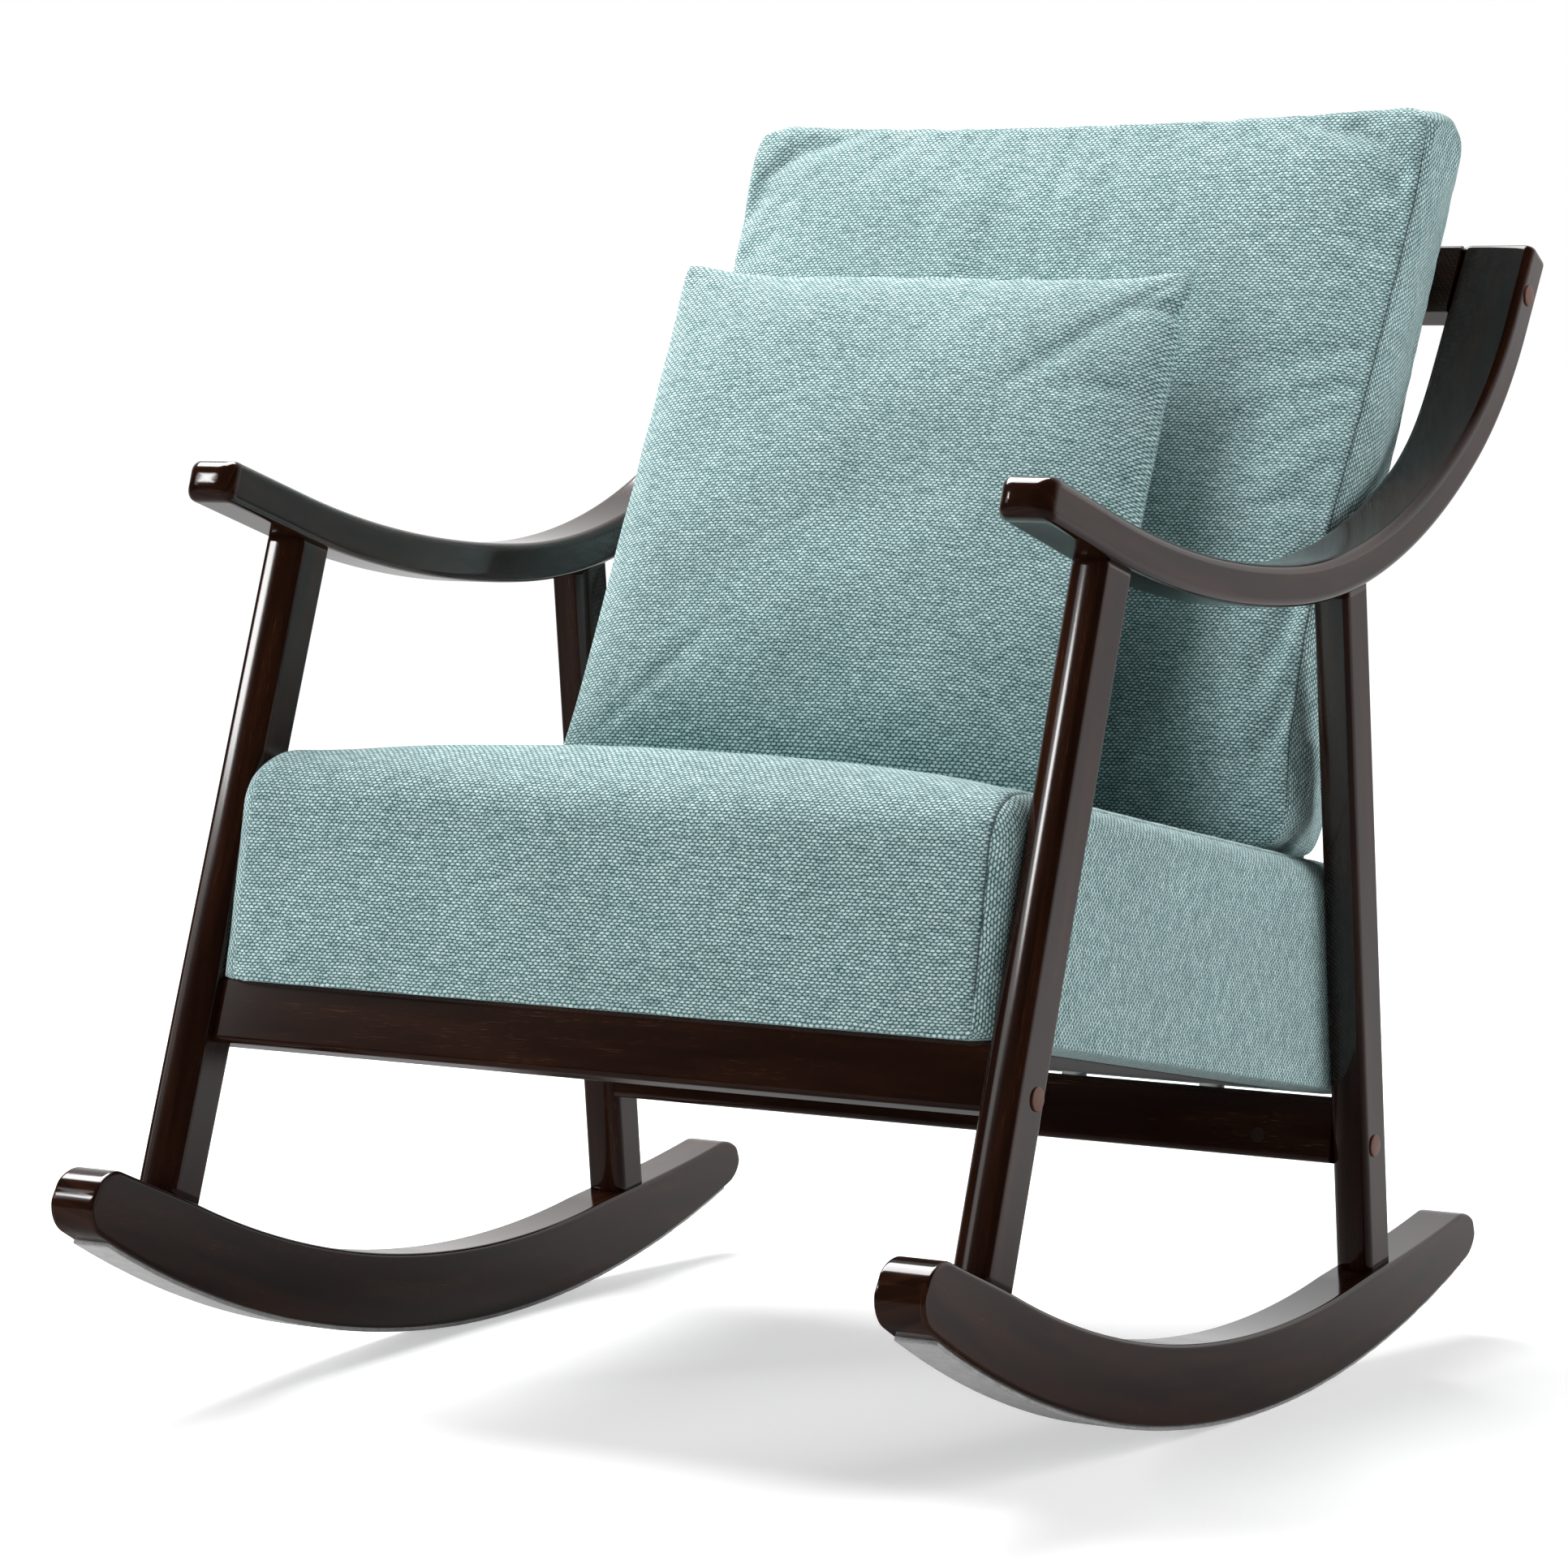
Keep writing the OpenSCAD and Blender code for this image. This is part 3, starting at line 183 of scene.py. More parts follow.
def joined(parts):
    """Several surfaces as one, their corner numbers moved on."""
    starts = np.cumsum([0] + [len(part[0]) for part in parts[:-1]])
    moved = [(v, q + start, t + start, a, b) for (v, q, t, a, b), start in zip(parts, starts)]
    return tuple(np.concatenate(kind) for kind in zip(*moved))


def volume(verts, quads, tris):
    """Volume inside a closed surface, times six: the sum of a . (b x c) over its triangles."""
    fans = [quads[:, [0, 1, 2]], quads[:, [0, 2, 3]], tris]
    a, b, c = (verts[np.concatenate(fans)[:, k]] for k in range(3))
    return np.einsum("ij,ij->i", a, np.cross(b, c)).sum()


def new_mesh(name, part, uv_name="grain", closed=True):
    """Mesh object in metres from a surface in millimetres, its faces turned outwards when it is closed."""
    verts, quads, tris, quad_uv, tri_uv = part
    verts = verts * 0.001
    if closed and volume(verts, quads, tris) < 0:
        quads, quad_uv = quads[:, ::-1], quad_uv[:, ::-1]
        tris, tri_uv = tris[:, ::-1], tri_uv[:, ::-1]
    mesh = bpy.data.meshes.new(name)
    mesh.vertices.add(len(verts))
    mesh.vertices.foreach_set("co", verts.ravel())
    mesh.loops.add(quads.size + tris.size)
    mesh.loops.foreach_set("vertex_index", np.concatenate([quads.ravel(), tris.ravel()]).astype(np.int32))
    mesh.polygons.add(len(quads) + len(tris))
    starts = np.concatenate([np.arange(len(quads)) * 4, quads.size + np.arange(len(tris)) * 3])
    mesh.polygons.foreach_set("loop_start", starts.astype(np.int32))
    mesh.polygons.foreach_set("use_smooth", np.ones(len(starts), bool))
    corners = np.concatenate([quad_uv.reshape(-1, 2), tri_uv.reshape(-1, 2)])
    mesh.uv_layers.new(name=uv_name).data.foreach_set("uv", corners.astype(np.float32).ravel())
    mesh.validate()
    mesh.update()
    obj = bpy.data.objects.new(name, mesh)
    bpy.context.scene.collection.objects.link(obj)
    return obj


def places(obj):
    """The mesh's points in millimetres."""
    co = np.empty(len(obj.data.vertices) * 3, np.float32)
    obj.data.vertices.foreach_get("co", co)
    return co.reshape(-1, 3).astype(float) * 1000


def set_places(obj, co):
    """Puts points in millimetres back into the mesh."""
    obj.data.vertices.foreach_set("co", (co * 0.001).astype(np.float32).ravel())
    obj.data.update()


def normals(obj):
    """The mesh's point normals."""
    n = np.empty(len(obj.data.vertices) * 3, np.float32)
    obj.data.vertex_normals.foreach_get("vector", n)
    return n.reshape(-1, 3).astype(float)


def set_values(obj, name, values):
    """Stores one number per point under a name."""
    layer = obj.data.attributes.get(name) or obj.data.attributes.new(name, "FLOAT", "POINT")
    layer.data.foreach_set("value", np.asarray(values, np.float32))


def get_values(obj, name):
    """Reads one number per point."""
    v = np.empty(len(obj.data.vertices), np.float32)
    obj.data.attributes[name].data.foreach_get("value", v)
    return v.astype(float)


def finer(obj):
    """One round of subdivision, applied."""
    mod = obj.modifiers.new("finer", "SUBSURF")
    mod.levels = mod.render_levels = 1
    mod.boundary_smooth = "PRESERVE_CORNERS"
    bpy.context.view_layer.update()
    mesh = bpy.data.meshes.new_from_object(obj.evaluated_get(bpy.context.evaluated_depsgraph_get()))
    obj.modifiers.clear()
    old = obj.data
    obj.data = mesh
    mesh.name = obj.name
    bpy.data.meshes.remove(old)


def lofted(rings, length, caps=(True, True)):
    """Skin over closed rings: UV runs along the piece and round its section, in metres."""
    side = np.linalg.norm(np.diff(rings, axis=1, append=rings[:, :1]), axis=2)
    around = np.concatenate([np.zeros((len(rings), 1)), np.cumsum(side, 1)], 1)
    uv = np.stack([np.repeat(length[:, None], around.shape[1], 1), around], -1) * 0.001
    return lattice(rings, True, uv, caps)


def mirrored(part):
    """The same surface on the other side of the chair."""
    verts, *rest = part
    return verts * np.array([-1.0, 1, 1]), *(faces[:, ::-1] for faces in rest)


def finish(obj, material, slot, body, *nodes):
    """Gives a piece its material, stands it for its nodes and lets it ride on a body. slot is not used."""
    dress(obj, material)
    if nodes:
        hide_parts(*nodes)
    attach(obj, body)
    return obj


def dress(obj, material):
    """Puts one material on an object."""
    obj.data.materials.clear()
    obj.data.materials.append(material)


# Materials

class Recipe:
    """A material's node tree with short calls for its nodes. Each call returns a socket that others can
    use."""

    def __init__(self, name):
        self.material = bpy.data.materials.new(name)
        self.material.use_nodes = True
        self.tree = self.material.node_tree
        self.tree.nodes.clear()
        self.out = self.add("ShaderNodeOutputMaterial")
        self.skin = self.add("ShaderNodeBsdfPrincipled")
        self.wire(self.skin.outputs[0], self.out.inputs[0])

    def add(self, kind, **settings):
        """A new node with its settings."""
        node = self.tree.nodes.new(kind)
        for key, value in settings.items():
            setattr(node, key, value)
        return node

    def wire(self, a, b):
        """Links one socket to another."""
        self.tree.links.new(a, b)

    def feed(self, socket, value):
        """Links a socket, or sets it to a constant."""
        if isinstance(value, bpy.types.NodeSocket):
            self.wire(value, socket)
        else:
            socket.default_value = value

    def sum(self, op, *values):
        """One sum of one or two numbers."""
        node = self.add("ShaderNodeMath", operation=op)
        for socket, value in zip(node.inputs, values):
            self.feed(socket, value)
        return node.outputs[0]

    def vector(self, op, a, b):
        """One sum of two vectors."""
        node = self.add("ShaderNodeVectorMath", operation=op)
        self.feed(node.inputs[0], a)
        self.feed(node.inputs[1], b)
        return node.outputs[0]

    def parts(self, vector):
        """The three numbers of a vector."""
        node = self.add("ShaderNodeSeparateXYZ")
        self.wire(vector, node.inputs[0])
        return node.outputs

    def together(self, x, y, z=0.0):
        """A vector of three numbers."""
        node = self.add("ShaderNodeCombineXYZ")
        for socket, value in zip(node.inputs, (x, y, z)):
            self.feed(socket, value)
        return node.outputs[0]

    def noise(self, place, scale, detail=2.0, rough=0.5):
        """A noise node at a place: its first output is grey, its second one coloured."""
        node = self.add("ShaderNodeTexNoise")
        self.wire(place, node.inputs["Vector"])
        node.inputs["Scale"].default_value = scale
        node.inputs["Detail"].default_value = detail
        node.inputs["Roughness"].default_value = rough
        return node

    def drift(self, place, scale, detail, reach):
        """A noisy vector about zero, as long as a share of reach."""
        colour = self.noise(place, scale, detail).outputs["Color"]
        node = self.add("ShaderNodeVectorMath", operation="SCALE")
        self.wire(self.vector("SUBTRACT", colour, (0.5, 0.5, 0.5)), node.inputs[0])
        node.inputs["Scale"].default_value = reach
        return node.outputs[0]

    def between(self, value, low, high, to_low=0.0, to_high=1.0, smooth=True):
        """A value carried from one range to another, with smooth or plain ends."""
        node = self.add("ShaderNodeMapRange", interpolation_type="SMOOTHSTEP" if smooth else "LINEAR")
        for socket, v in zip(node.inputs, (value, low, high, to_low, to_high)):
            self.feed(socket, v)
        return node.outputs[0]

    def blend(self, share, a, b, how="MIX"):
        """A share of colour b over colour a."""
        node = self.add("ShaderNodeMix", data_type="RGBA", blend_type=how)
        self.feed(node.inputs[0], share)
        self.feed(node.inputs[6], a)
        self.feed(node.inputs[7], b)
        return node.outputs[2]

    def mapped(self, place, scale, turn=(0, 0, 0)):
        """A place turned by degrees and stretched."""
        node = self.add("ShaderNodeMapping")
        self.wire(place, node.inputs[0])
        node.inputs["Rotation"].default_value = [math.radians(v) for v in turn]
        node.inputs["Scale"].default_value = scale
        return node.outputs[0]

    def uv(self, name):
        """The places of a UV layer."""
        return self.add("ShaderNodeUVMap", uv_map=name).outputs[0]

    def object_place(self):
        """Places on the object's own axes."""
        return self.add("ShaderNodeTexCoord").outputs["Object"]

    def bump(self, height, distance, strength=1.0):
        """Normals roughened by a height."""
        node = self.add("ShaderNodeBump")
        node.inputs["Strength"].default_value = strength
        node.inputs["Distance"].default_value = distance
        self.wire(height, node.inputs["Height"])
        return node.outputs[0]

    def set(self, **values):
        """Feeds the surface's sockets by name, with _ for a space."""
        for key, value in values.items():
            self.feed(self.skin.inputs[key.replace("_", " ")], value)


def rgba(colour):
    """A colour with full cover."""
    return (*colour, 1.0)


def lacquer(name, along):
    """Dark stained wood under clear lacquer: grain streaks along the piece, and fine open pores painted
    lighter as glints of light. along is the UV layer's name, or a turn of the object's axes that lays the
    grain along the first one."""
    own = bpy.context.scene.chair_wood
    r = Recipe(name)
    place = r.uv(along) if isinstance(along, str) else r.mapped(r.object_place(), (1, 1, 1), along)
    streak = r.noise(r.mapped(place, (5, 60, 60)), 1.0, 4, 0.6).outputs[0]
    pores = r.noise(r.mapped(place, (60, 1500, 1500)), 1.0, 2, 0.6).outputs[0]
    cloud = r.noise(r.mapped(place, (3, 12, 12)), 1.0, 2).outputs[0]
    pore = r.between(pores, 0.6, 0.72)
    pore_glint = r.sum("MULTIPLY", pore, r.between(streak, 0.45, 0.65, 0.05, 0.45))
    colour = r.blend(r.between(streak, 0.35, 0.7), rgba(own.stain), rgba(own.streak))
    colour = r.blend(r.between(cloud, 0.3, 0.75, 0.0, 0.35), colour, rgba(own.stain))
    # Painted glint: open pores in the lighter grain take a lighter colour that stands for light caught in
    # them.
    colour = r.blend(pore_glint, colour, rgba(own.pore))
    rough = r.between(cloud, 0.3, 0.7, own.roughness - 0.04, own.roughness + 0.06)
    height = r.sum("SUBTRACT", r.sum("MULTIPLY", streak, 0.5), pore)
    r.set(Base_Color=colour, Roughness=rough, Specular_IOR_Level=0.0, Normal=r.bump(height, 0.00006, 0.6))
    r.set(Coat_Weight=own.coat, Coat_Roughness=own.coat_roughness, Coat_IOR=1.5,
          Coat_Normal=r.bump(cloud, 0.0006, 0.15))
    return r.material


def stitches(r, flat, own):
    """Weave of slanted stitches: rows of cells, every other row set over by half a cell, a stitch being a
    leaning ellipse in each. Noise moves them. Returns each cell's number and how near its middle a place
    is, from 0 to 1."""
    moved = r.vector("ADD", flat, r.drift(flat, 35.0, 2, own.wander))
    x, y, _ = r.parts(r.vector("ADD", moved, r.drift(flat, 420.0, 1, own.jitter)))
    up = r.sum("MULTIPLY", y, 2 / own.pitch)
    row = r.sum("FLOOR", up)
    across = r.sum("ADD", r.sum("MULTIPLY", x, 1 / own.pitch), r.sum("MULTIPLY", row, 0.5))
    column = r.sum("FLOOR", across)
    cell_x = r.sum("SUBTRACT", r.sum("SUBTRACT", across, column), 0.5)
    cell_y = r.sum("SUBTRACT", r.sum("SUBTRACT", up, row), 0.5)
    along = r.sum("ADD", cell_x, r.sum("MULTIPLY", cell_y, 0.25))
    aside = r.sum("SUBTRACT", cell_y, r.sum("MULTIPLY", cell_x, 0.35))
    reach = r.sum("SQRT", r.sum("ADD", r.sum("POWER", along, 2.0), r.sum("POWER", aside, 2.0)))
    return r.together(column, row), r.sum("SUBTRACT", 1.0, r.sum("MULTIPLY", reach, 2.0))


def woven(name):
    """Cloth of pale slanted stitches over darker gaps. Each stitch has its own tone by chance, and the yarn
    its flecks. The value named seam_gap is the distance to the next seam in millimetres, which draws its
    dark line and a broader painted shade beside it."""
    own = bpy.context.scene.chair_fabric
    r = Recipe(name)
    flat = r.uv("weave")
    cell, middle = stitches(r, flat, own)
    chance = r.add("ShaderNodeTexWhiteNoise", noise_dimensions="2D")
    r.wire(cell, chance.inputs["Vector"])
    fleck = r.noise(flat, 1400.0, 2, 0.7).outputs[0]
    yarn = r.between(r.noise(r.mapped(flat, (45, 450, 1)), 1.0, 2).outputs[0], 0.3, 0.7)
    stitch = r.between(r.sum("ADD", middle, r.sum("SUBTRACT", fleck, 0.5)), -0.1, 0.5)
    tone = r.sum("ADD", r.sum("MULTIPLY", chance.outputs["Value"], 0.55), r.sum("MULTIPLY", yarn, 0.45))
    pale = r.blend(tone, rgba(own.pale_low), rgba(own.pale))
    deep = r.blend(tone, rgba(own.deep_low), rgba(own.deep))
    shade = r.between(r.noise(flat, 9.0, 3).outputs[0], 0.3, 0.7, 0.94, 1.05, False)
    gap = r.add("ShaderNodeAttribute", attribute_name="seam_gap").outputs["Fac"]
    shade = r.sum("MULTIPLY", shade, r.between(gap, 0.35, 1.3, 0.4, 1.0))
    # Painted shade: the cloth is darkened to 0.9 within 5 mm of each seam, where the groove's shade falls.
    shade = r.sum("MULTIPLY", shade, r.between(gap, 0.0, 5.0, 0.9, 1.0))
    colour = r.blend(1.0, r.blend(stitch, deep, pale), r.together(shade, shade, shade), "MULTIPLY")
    height = r.sum("ADD", stitch, r.sum("MULTIPLY", fleck, 0.8))
    r.set(Base_Color=colour, Roughness=0.92, Specular_IOR_Level=0.15, Normal=r.bump(height, own.relief, 0.8))
    r.set(Sheen_Weight=own.sheen, Sheen_Roughness=0.45, Sheen_Tint=(0.9, 1.0, 0.98, 1.0))
    return r.material


def upholstery():
    """The cloth of the seat and the cushions, made once."""
    name = "woven seafoam cloth"
    return bpy.data.materials.get(name) or woven(name)


def plain_stuff(name, colour, second, scale, rough, relief=0.0002, metal=0.0, stretch=(1, 1, 1), sheen=0.0):
    """A finish of two near colours in noise, with its own roughness and relief, on the object's own
    axes."""
    r = Recipe(name)
    place = r.mapped(r.object_place(), stretch)
    speck = r.noise(place, scale, 3, 0.6).outputs[0]
    broad = r.noise(place, scale / 12, 2).outputs[0]
    share = r.between(r.sum("ADD", r.sum("MULTIPLY", speck, 0.7), r.sum("MULTIPLY", broad, 0.3)), 0.35, 0.65)
    r.set(Base_Color=r.blend(share, rgba(colour), rgba(second)), Metallic=metal, Sheen_Weight=sheen)
    r.set(Roughness=r.between(broad, 0.3, 0.7, rough - 0.05, rough + 0.05))
    r.set(Normal=r.bump(speck, relief, 0.6))
    return r.material


def ribbed(name, colour, second, axis, pitch, rough, relief=0.0004):
    """Cloth with ribs: a sine along one of the object's axes under flecks of a second colour."""
    r = Recipe(name)
    place = r.object_place()
    rib = r.sum("SINE", r.sum("MULTIPLY", r.parts(place)[axis], 2 * math.pi / pitch))
    fleck = r.noise(place, 900.0, 2).outputs[0]
    share = r.between(r.sum("ADD", r.sum("MULTIPLY", rib, 0.5), fleck), 0.0, 1.0)
    r.set(Base_Color=r.blend(share, rgba(second), rgba(colour)), Roughness=rough, Sheen_Weight=0.15)
    r.set(Normal=r.bump(r.sum("ADD", rib, fleck), relief, 0.7))
    return r.material


# Wooden parts, bolt caps and felt

def arm_line(s):
    """Points and slopes of an arm's middle line at distances s: stretches of steady curvature, summed up
    finely."""
    turned = np.cumsum([0, 0, *(turn for _, turn in ARM_BENDS), 0])
    fine = np.linspace(0, ARM_LEN, 6001)
    slope = ARM_SLOPE + np.interp(fine, ARM_CUTS, turned)
    step = heading((slope[1:] + slope[:-1]) / 2) * np.diff(fine)[:, None]
    line = ARM_START + np.concatenate([[[0, 0]], np.cumsum(step, 0)])
    return np.stack([np.interp(s, fine, line[:, k]) for k in (0, 1)], -1), np.interp(s, fine, slope)


def arm_width(s):
    """Width of an arm: eased from its tip's width to its middle's, and from there to the width at the top
    rail."""
    tip, middle, top = ARM_WIDTHS
    return tip + (middle - tip) * ease((s - 120) / 300) + (top - middle) * ease((s - ARM_LEN + 240) / 170)


def arm_part():
    """Right arm: a rounded section carried along the middle line, its tip and its upper end rounded
    over."""
    tip = ARM_TIP_ROUND * (1 - np.cos(np.linspace(0, np.pi / 2, 9)))
    top = ARM_LEN - ARM_TOP_ROUND * (1 - np.cos(np.linspace(np.pi / 2, 0, 5)))
    s = np.concatenate([tip, np.linspace(ARM_TIP_ROUND + 1.5, ARM_LEN - ARM_TOP_ROUND - 1.5, 190), top])
    line, slope = arm_line(s)
    e = np.where(s < ARM_LEN / 2, drawn_in(s, ARM_TIP_ROUND), drawn_in(ARM_LEN - s, ARM_TOP_ROUND))
    half = ARM_THICK / 2 - e
    ring = rounded_section(ARM_OUT - arm_width(s) + e, ARM_OUT - e, -half, half, [ARM_EDGE] * 4)
    up = heading(slope + 90)
    yz = line[:, None] + up[:, None] * ring[..., 1:]
    return lofted(np.concatenate([ring[..., :1], yz], -1), s)


def rocker_depth(a):
    """Depth of a rocker at an angle: steady in the middle, thinned towards the front and more towards the
    rear."""
    front, middle, rear = ROCKER_DEPTHS
    thinner_front = np.clip((-a - 24.4) / 7, 0, 1) ** 1.6
    thinner_rear = np.clip((a - 8.1) / 12, 0, 1) ** 1.5
    return middle - (middle - front) * thinner_front - (middle - rear) * thinner_rear


def rocker_part():
    """Right rocker: a rounded section swung round the centre of the rocker's curve, its ends rounded
    over."""
    end = math.degrees(ROCKER_TIP_ROUND / ROCKER_R)
    lead = end * (1 - np.cos(np.linspace(0, np.pi / 2, 14)))
    body = np.linspace(ROCKER_FROM + end * 1.15, ROCKER_TO - end * 1.15, 170)
    a = np.concatenate([ROCKER_FROM + lead, body, ROCKER_TO - lead[::-1]])
    far = np.minimum(a - ROCKER_FROM, ROCKER_TO - a) * math.pi / 180 * ROCKER_R
    depth = rocker_depth(a)
    e = drawn_in(far, ROCKER_TIP_ROUND) * depth / ROCKER_DEPTHS[0]
    g = drawn_in(far, 2)
    edges = [np.full(len(a), ROCKER_EDGE)] * 4
    ring = rounded_section(ROCKER_OUT - ROCKER_W + g, ROCKER_OUT - g, e, depth - e, edges)
    yz = ROCKER_MID + (ROCKER_R - ring[..., 1:]) * heading(a - 90)[:, None]
    return lofted(np.concatenate([ring[..., :1], yz], -1), np.radians(a) * ROCKER_R)


def leg_section(depth):
    """Section of the right leg, crisp but for a wide rounding in front on the seat's side, pressed flatter
    there."""
    ring = rounded_section([LEG_IN], [LEG_OUT], [-depth], [0], [5, 4, 4, LEG_ROUND], k=12, most=0.8)[0]
    inner = (ring[:, 0] < LEG_IN + LEG_ROUND + 0.01) & (ring[:, 1] < LEG_ROUND + 1 - depth)
    ring[inner, 1] = (ring[inner, 1] + depth) * LEG_PRESSED - depth
    return ring


def leg_part(origin, lean, depth):
    """Right leg: its section drawn straight from 2 inside the rocker up to 2 inside the arm."""
    a = np.linspace(ROCKER_FROM, ROCKER_TO, 600)
    rocker_top = ROCKER_MID + (ROCKER_R - rocker_depth(a))[:, None] * heading(a - 90)
    line, slope = arm_line(np.linspace(0, ARM_LEN, 900))
    arm_under = line - ARM_THICK / 2 * heading(slope + 90)
    back, up = heading(lean), heading(lean + 90)
    ring = leg_section(depth)
    reach = []
    for chain, sink in ((rocker_top, -2.0), (arm_under, 2.0)):
        s, u = (chain - origin) @ back, (chain - origin) @ up
        keep = np.abs(s) < 200
        order = np.argsort(s[keep])
        reach.append(np.interp(ring[:, 1], s[keep][order], u[keep][order]) + sink)
    t = np.linspace(0, 1, 70)[:, None]
    rise = reach[0] + (reach[1] - reach[0]) * t
    yz = origin + ring[None, :, 1:] * back + rise[..., None] * up
    x = np.repeat(ring[None, :, :1], len(t), 0)
    return lofted(np.concatenate([x, yz], -1), rise[:, 0])


def cap_part(y, z, x):
    """Domed cap on the right side, turned about the bolt's axis: a rim, a quarter circle of radius 1
    across, and a crown whose height goes with 1 - (r / r0)^2."""
    a = np.linspace(0, np.pi / 2, 7)[1:]
    shoulder = CAP_R - 1
    crown = np.linspace(6.2, 0.6, 6)
    r = np.concatenate([[CAP_R - 0.15, CAP_R], shoulder + np.cos(a), crown])
    h = np.concatenate([[-0.6, CAP_RIM], CAP_RIM + (CAP_RISE - CAP_RIM) * np.sin(a),
                        CAP_RISE + 0.3 * (1 - (crown / shoulder) ** 2)])
    t = np.linspace(0, 2 * np.pi, 40, endpoint=False)
    across = np.repeat((x + h)[:, None], len(t), 1)
    rings = np.stack([across, y + np.outer(r, np.cos(t)), z + np.outer(r, np.sin(t))], -1)
    return lofted(rings, h)


def felt_part():
    """Right felt strip: a thin section under the rocker, its sides uneven, pressed level where the chair
    stands."""
    a = np.linspace(FELT_FROM, FELT_TO, 260)
    edges = [np.full(len(a), 0.9)] * 4
    ring = rounded_section(np.full(len(a), FELT_IN), FELT_OUT, -FELT_THICK, FELT_SUNK, edges, k=4, guard=0.3)
    soft = 0.25 * ripple(a * 16, a * 0, 5, 8, 40)
    yz = ROCKER_MID + (ROCKER_R - ring[..., 1:]) * heading(a - 90)[:, None]
    yz[..., 1] = np.maximum(yz[..., 1], 0)
    x = ring[..., :1] + np.sign(ring[..., :1] - (FELT_IN + FELT_OUT) / 2) * soft[:, None, None]
    return lofted(np.concatenate([x, yz], -1), np.radians(a) * ROCKER_R)


# Seat

def seat_place(x, s, n):
    """From the seat's own frame to the chair's: across, rearward along the slope, and up from it."""
    back, up = heading(SEAT_SLOPE), heading(SEAT_SLOPE + 90)
    yz = SEAT_O + np.multiply.outer(s, back) + np.multiply.outer(n, up)
    return np.concatenate([x[..., None], yz], -1)


def seat_frame(co):
    """From the chair's frame to the seat's own: distance rearward and height."""
    d = co[..., 1:] - SEAT_O
    return d @ heading(SEAT_SLOPE), d @ heading(SEAT_SLOPE + 90)


def seat_crown(x, s):
    """Rise of the seat's top: 16 in the middle of the front half, nothing at the sides, little at the
    rear."""
    x, y = x / 272, np.clip(2 * s / SEAT_LEN - 1, -1, 1)
    rise = 16 * (1 - np.clip(np.abs(x), 0, 1) ** 2.6) * (1 - (np.abs(y * 0.9 + 0.25) / 1.15) ** 3)
    rise *= 1 - 0.75 * ease((y - 0.1) / 0.5)
    return rise * ease((s - 14) / 44) * ease((SEAT_LEN - s - 6) / 30)


def seat_loop():
    """Side profile of the seat, up the front, over the top and down the rear, with its outward directions
    and the radii that its side edges are drawn in by: SEAT_EDGE below, twice that on top and a third
    underneath."""
    turn = np.linspace(0, np.pi / 2, 16)[1:]
    fall = np.linspace(0, np.pi / 2, 10)[1:]
    front = np.stack([np.zeros(34), np.linspace(0, SEAT_H - SEAT_NOSE, 34)], 1)
    nose = np.stack([SEAT_NOSE * (1 - np.cos(turn)), SEAT_H - SEAT_NOSE * (1 - np.sin(turn))], 1)
    top = np.stack([np.linspace(SEAT_NOSE, SEAT_LEN - SEAT_TAIL, 105)[1:], np.full(104, SEAT_H)], 1)
    tail = np.stack([SEAT_LEN - SEAT_TAIL * (1 - np.sin(fall)), SEAT_H - SEAT_TAIL * (1 - np.cos(fall))], 1)
    rear = np.stack([np.full(30, SEAT_LEN), np.linspace(SEAT_H - SEAT_TAIL, 0, 31)[1:]], 1)
    base = np.stack([np.linspace(SEAT_LEN, 0, 41)[1:-1], np.zeros(39)], 1)
    loop = np.concatenate([front, nose, top, tail, rear, base])
    side = np.roll(loop, -1, 0) - np.roll(loop, 1, 0)
    out = np.stack([-side[:, 1], side[:, 0]], 1) / np.linalg.norm(side, axis=1)[:, None]
    up, down = np.clip(out[:, 1], 0, 1), np.clip(-out[:, 1], 0, 1)
    return loop, out, SEAT_EDGE * (1 + up ** 2) - 8 * down


def seat_skin(loop, out, r, theta):
    """Skin of the seat before its dents: the profile carried across, its side edges drawn in by r (1 - cos
    theta), and side faces that shrink towards their middles. Returns places across, along and up, one row
    per station."""
    edge_x = SEAT_HALF - SEAT_SIDE * (1 - np.sin(theta))
    inner = np.linspace(-edge_x[0], edge_x[0], 116)[1:-1]
    x = np.concatenate([-edge_x[::-1], inner, edge_x])
    shrink = np.concatenate([1 - np.cos(theta[::-1]), np.zeros(len(inner)), 1 - np.cos(theta)])[:, None]
    body = loop[None] - out[None] * (r[None, :, None] * shrink[..., None])
    lean = SEAT_EDGE * shrink
    upright = loop[:, 1] < SEAT_H - SEAT_NOSE - 1
    body[:, upright, 0] = (lean + loop[:, 0] * (1 - 2 * lean / SEAT_LEN))[:, upright]
    body[:, upright, 1] = (loop[:, 1] + 4 * shrink * ease(1 - loop[:, 1] / 40))[:, upright]
    body[..., 1] = np.minimum(body[..., 1], SEAT_H - SEAT_SIDE * shrink)
    mid = np.array([SEAT_LEN / 2, SEAT_H / 2])
    face = mid + (body[-1] - mid)[None] * np.linspace(0.94, 0.06, SEAT_FACE_ROWS)[:, None, None]
    s, n = np.moveaxis(np.concatenate([face[::-1], body, face]), -1, 0)
    face_x = np.full(face.shape[:2], SEAT_HALF)
    xs = np.concatenate([-face_x, np.repeat(x[:, None], len(loop), 1), face_x])
    return xs, s, n + seat_crown(xs, s) * ease((n - 110) / 45)


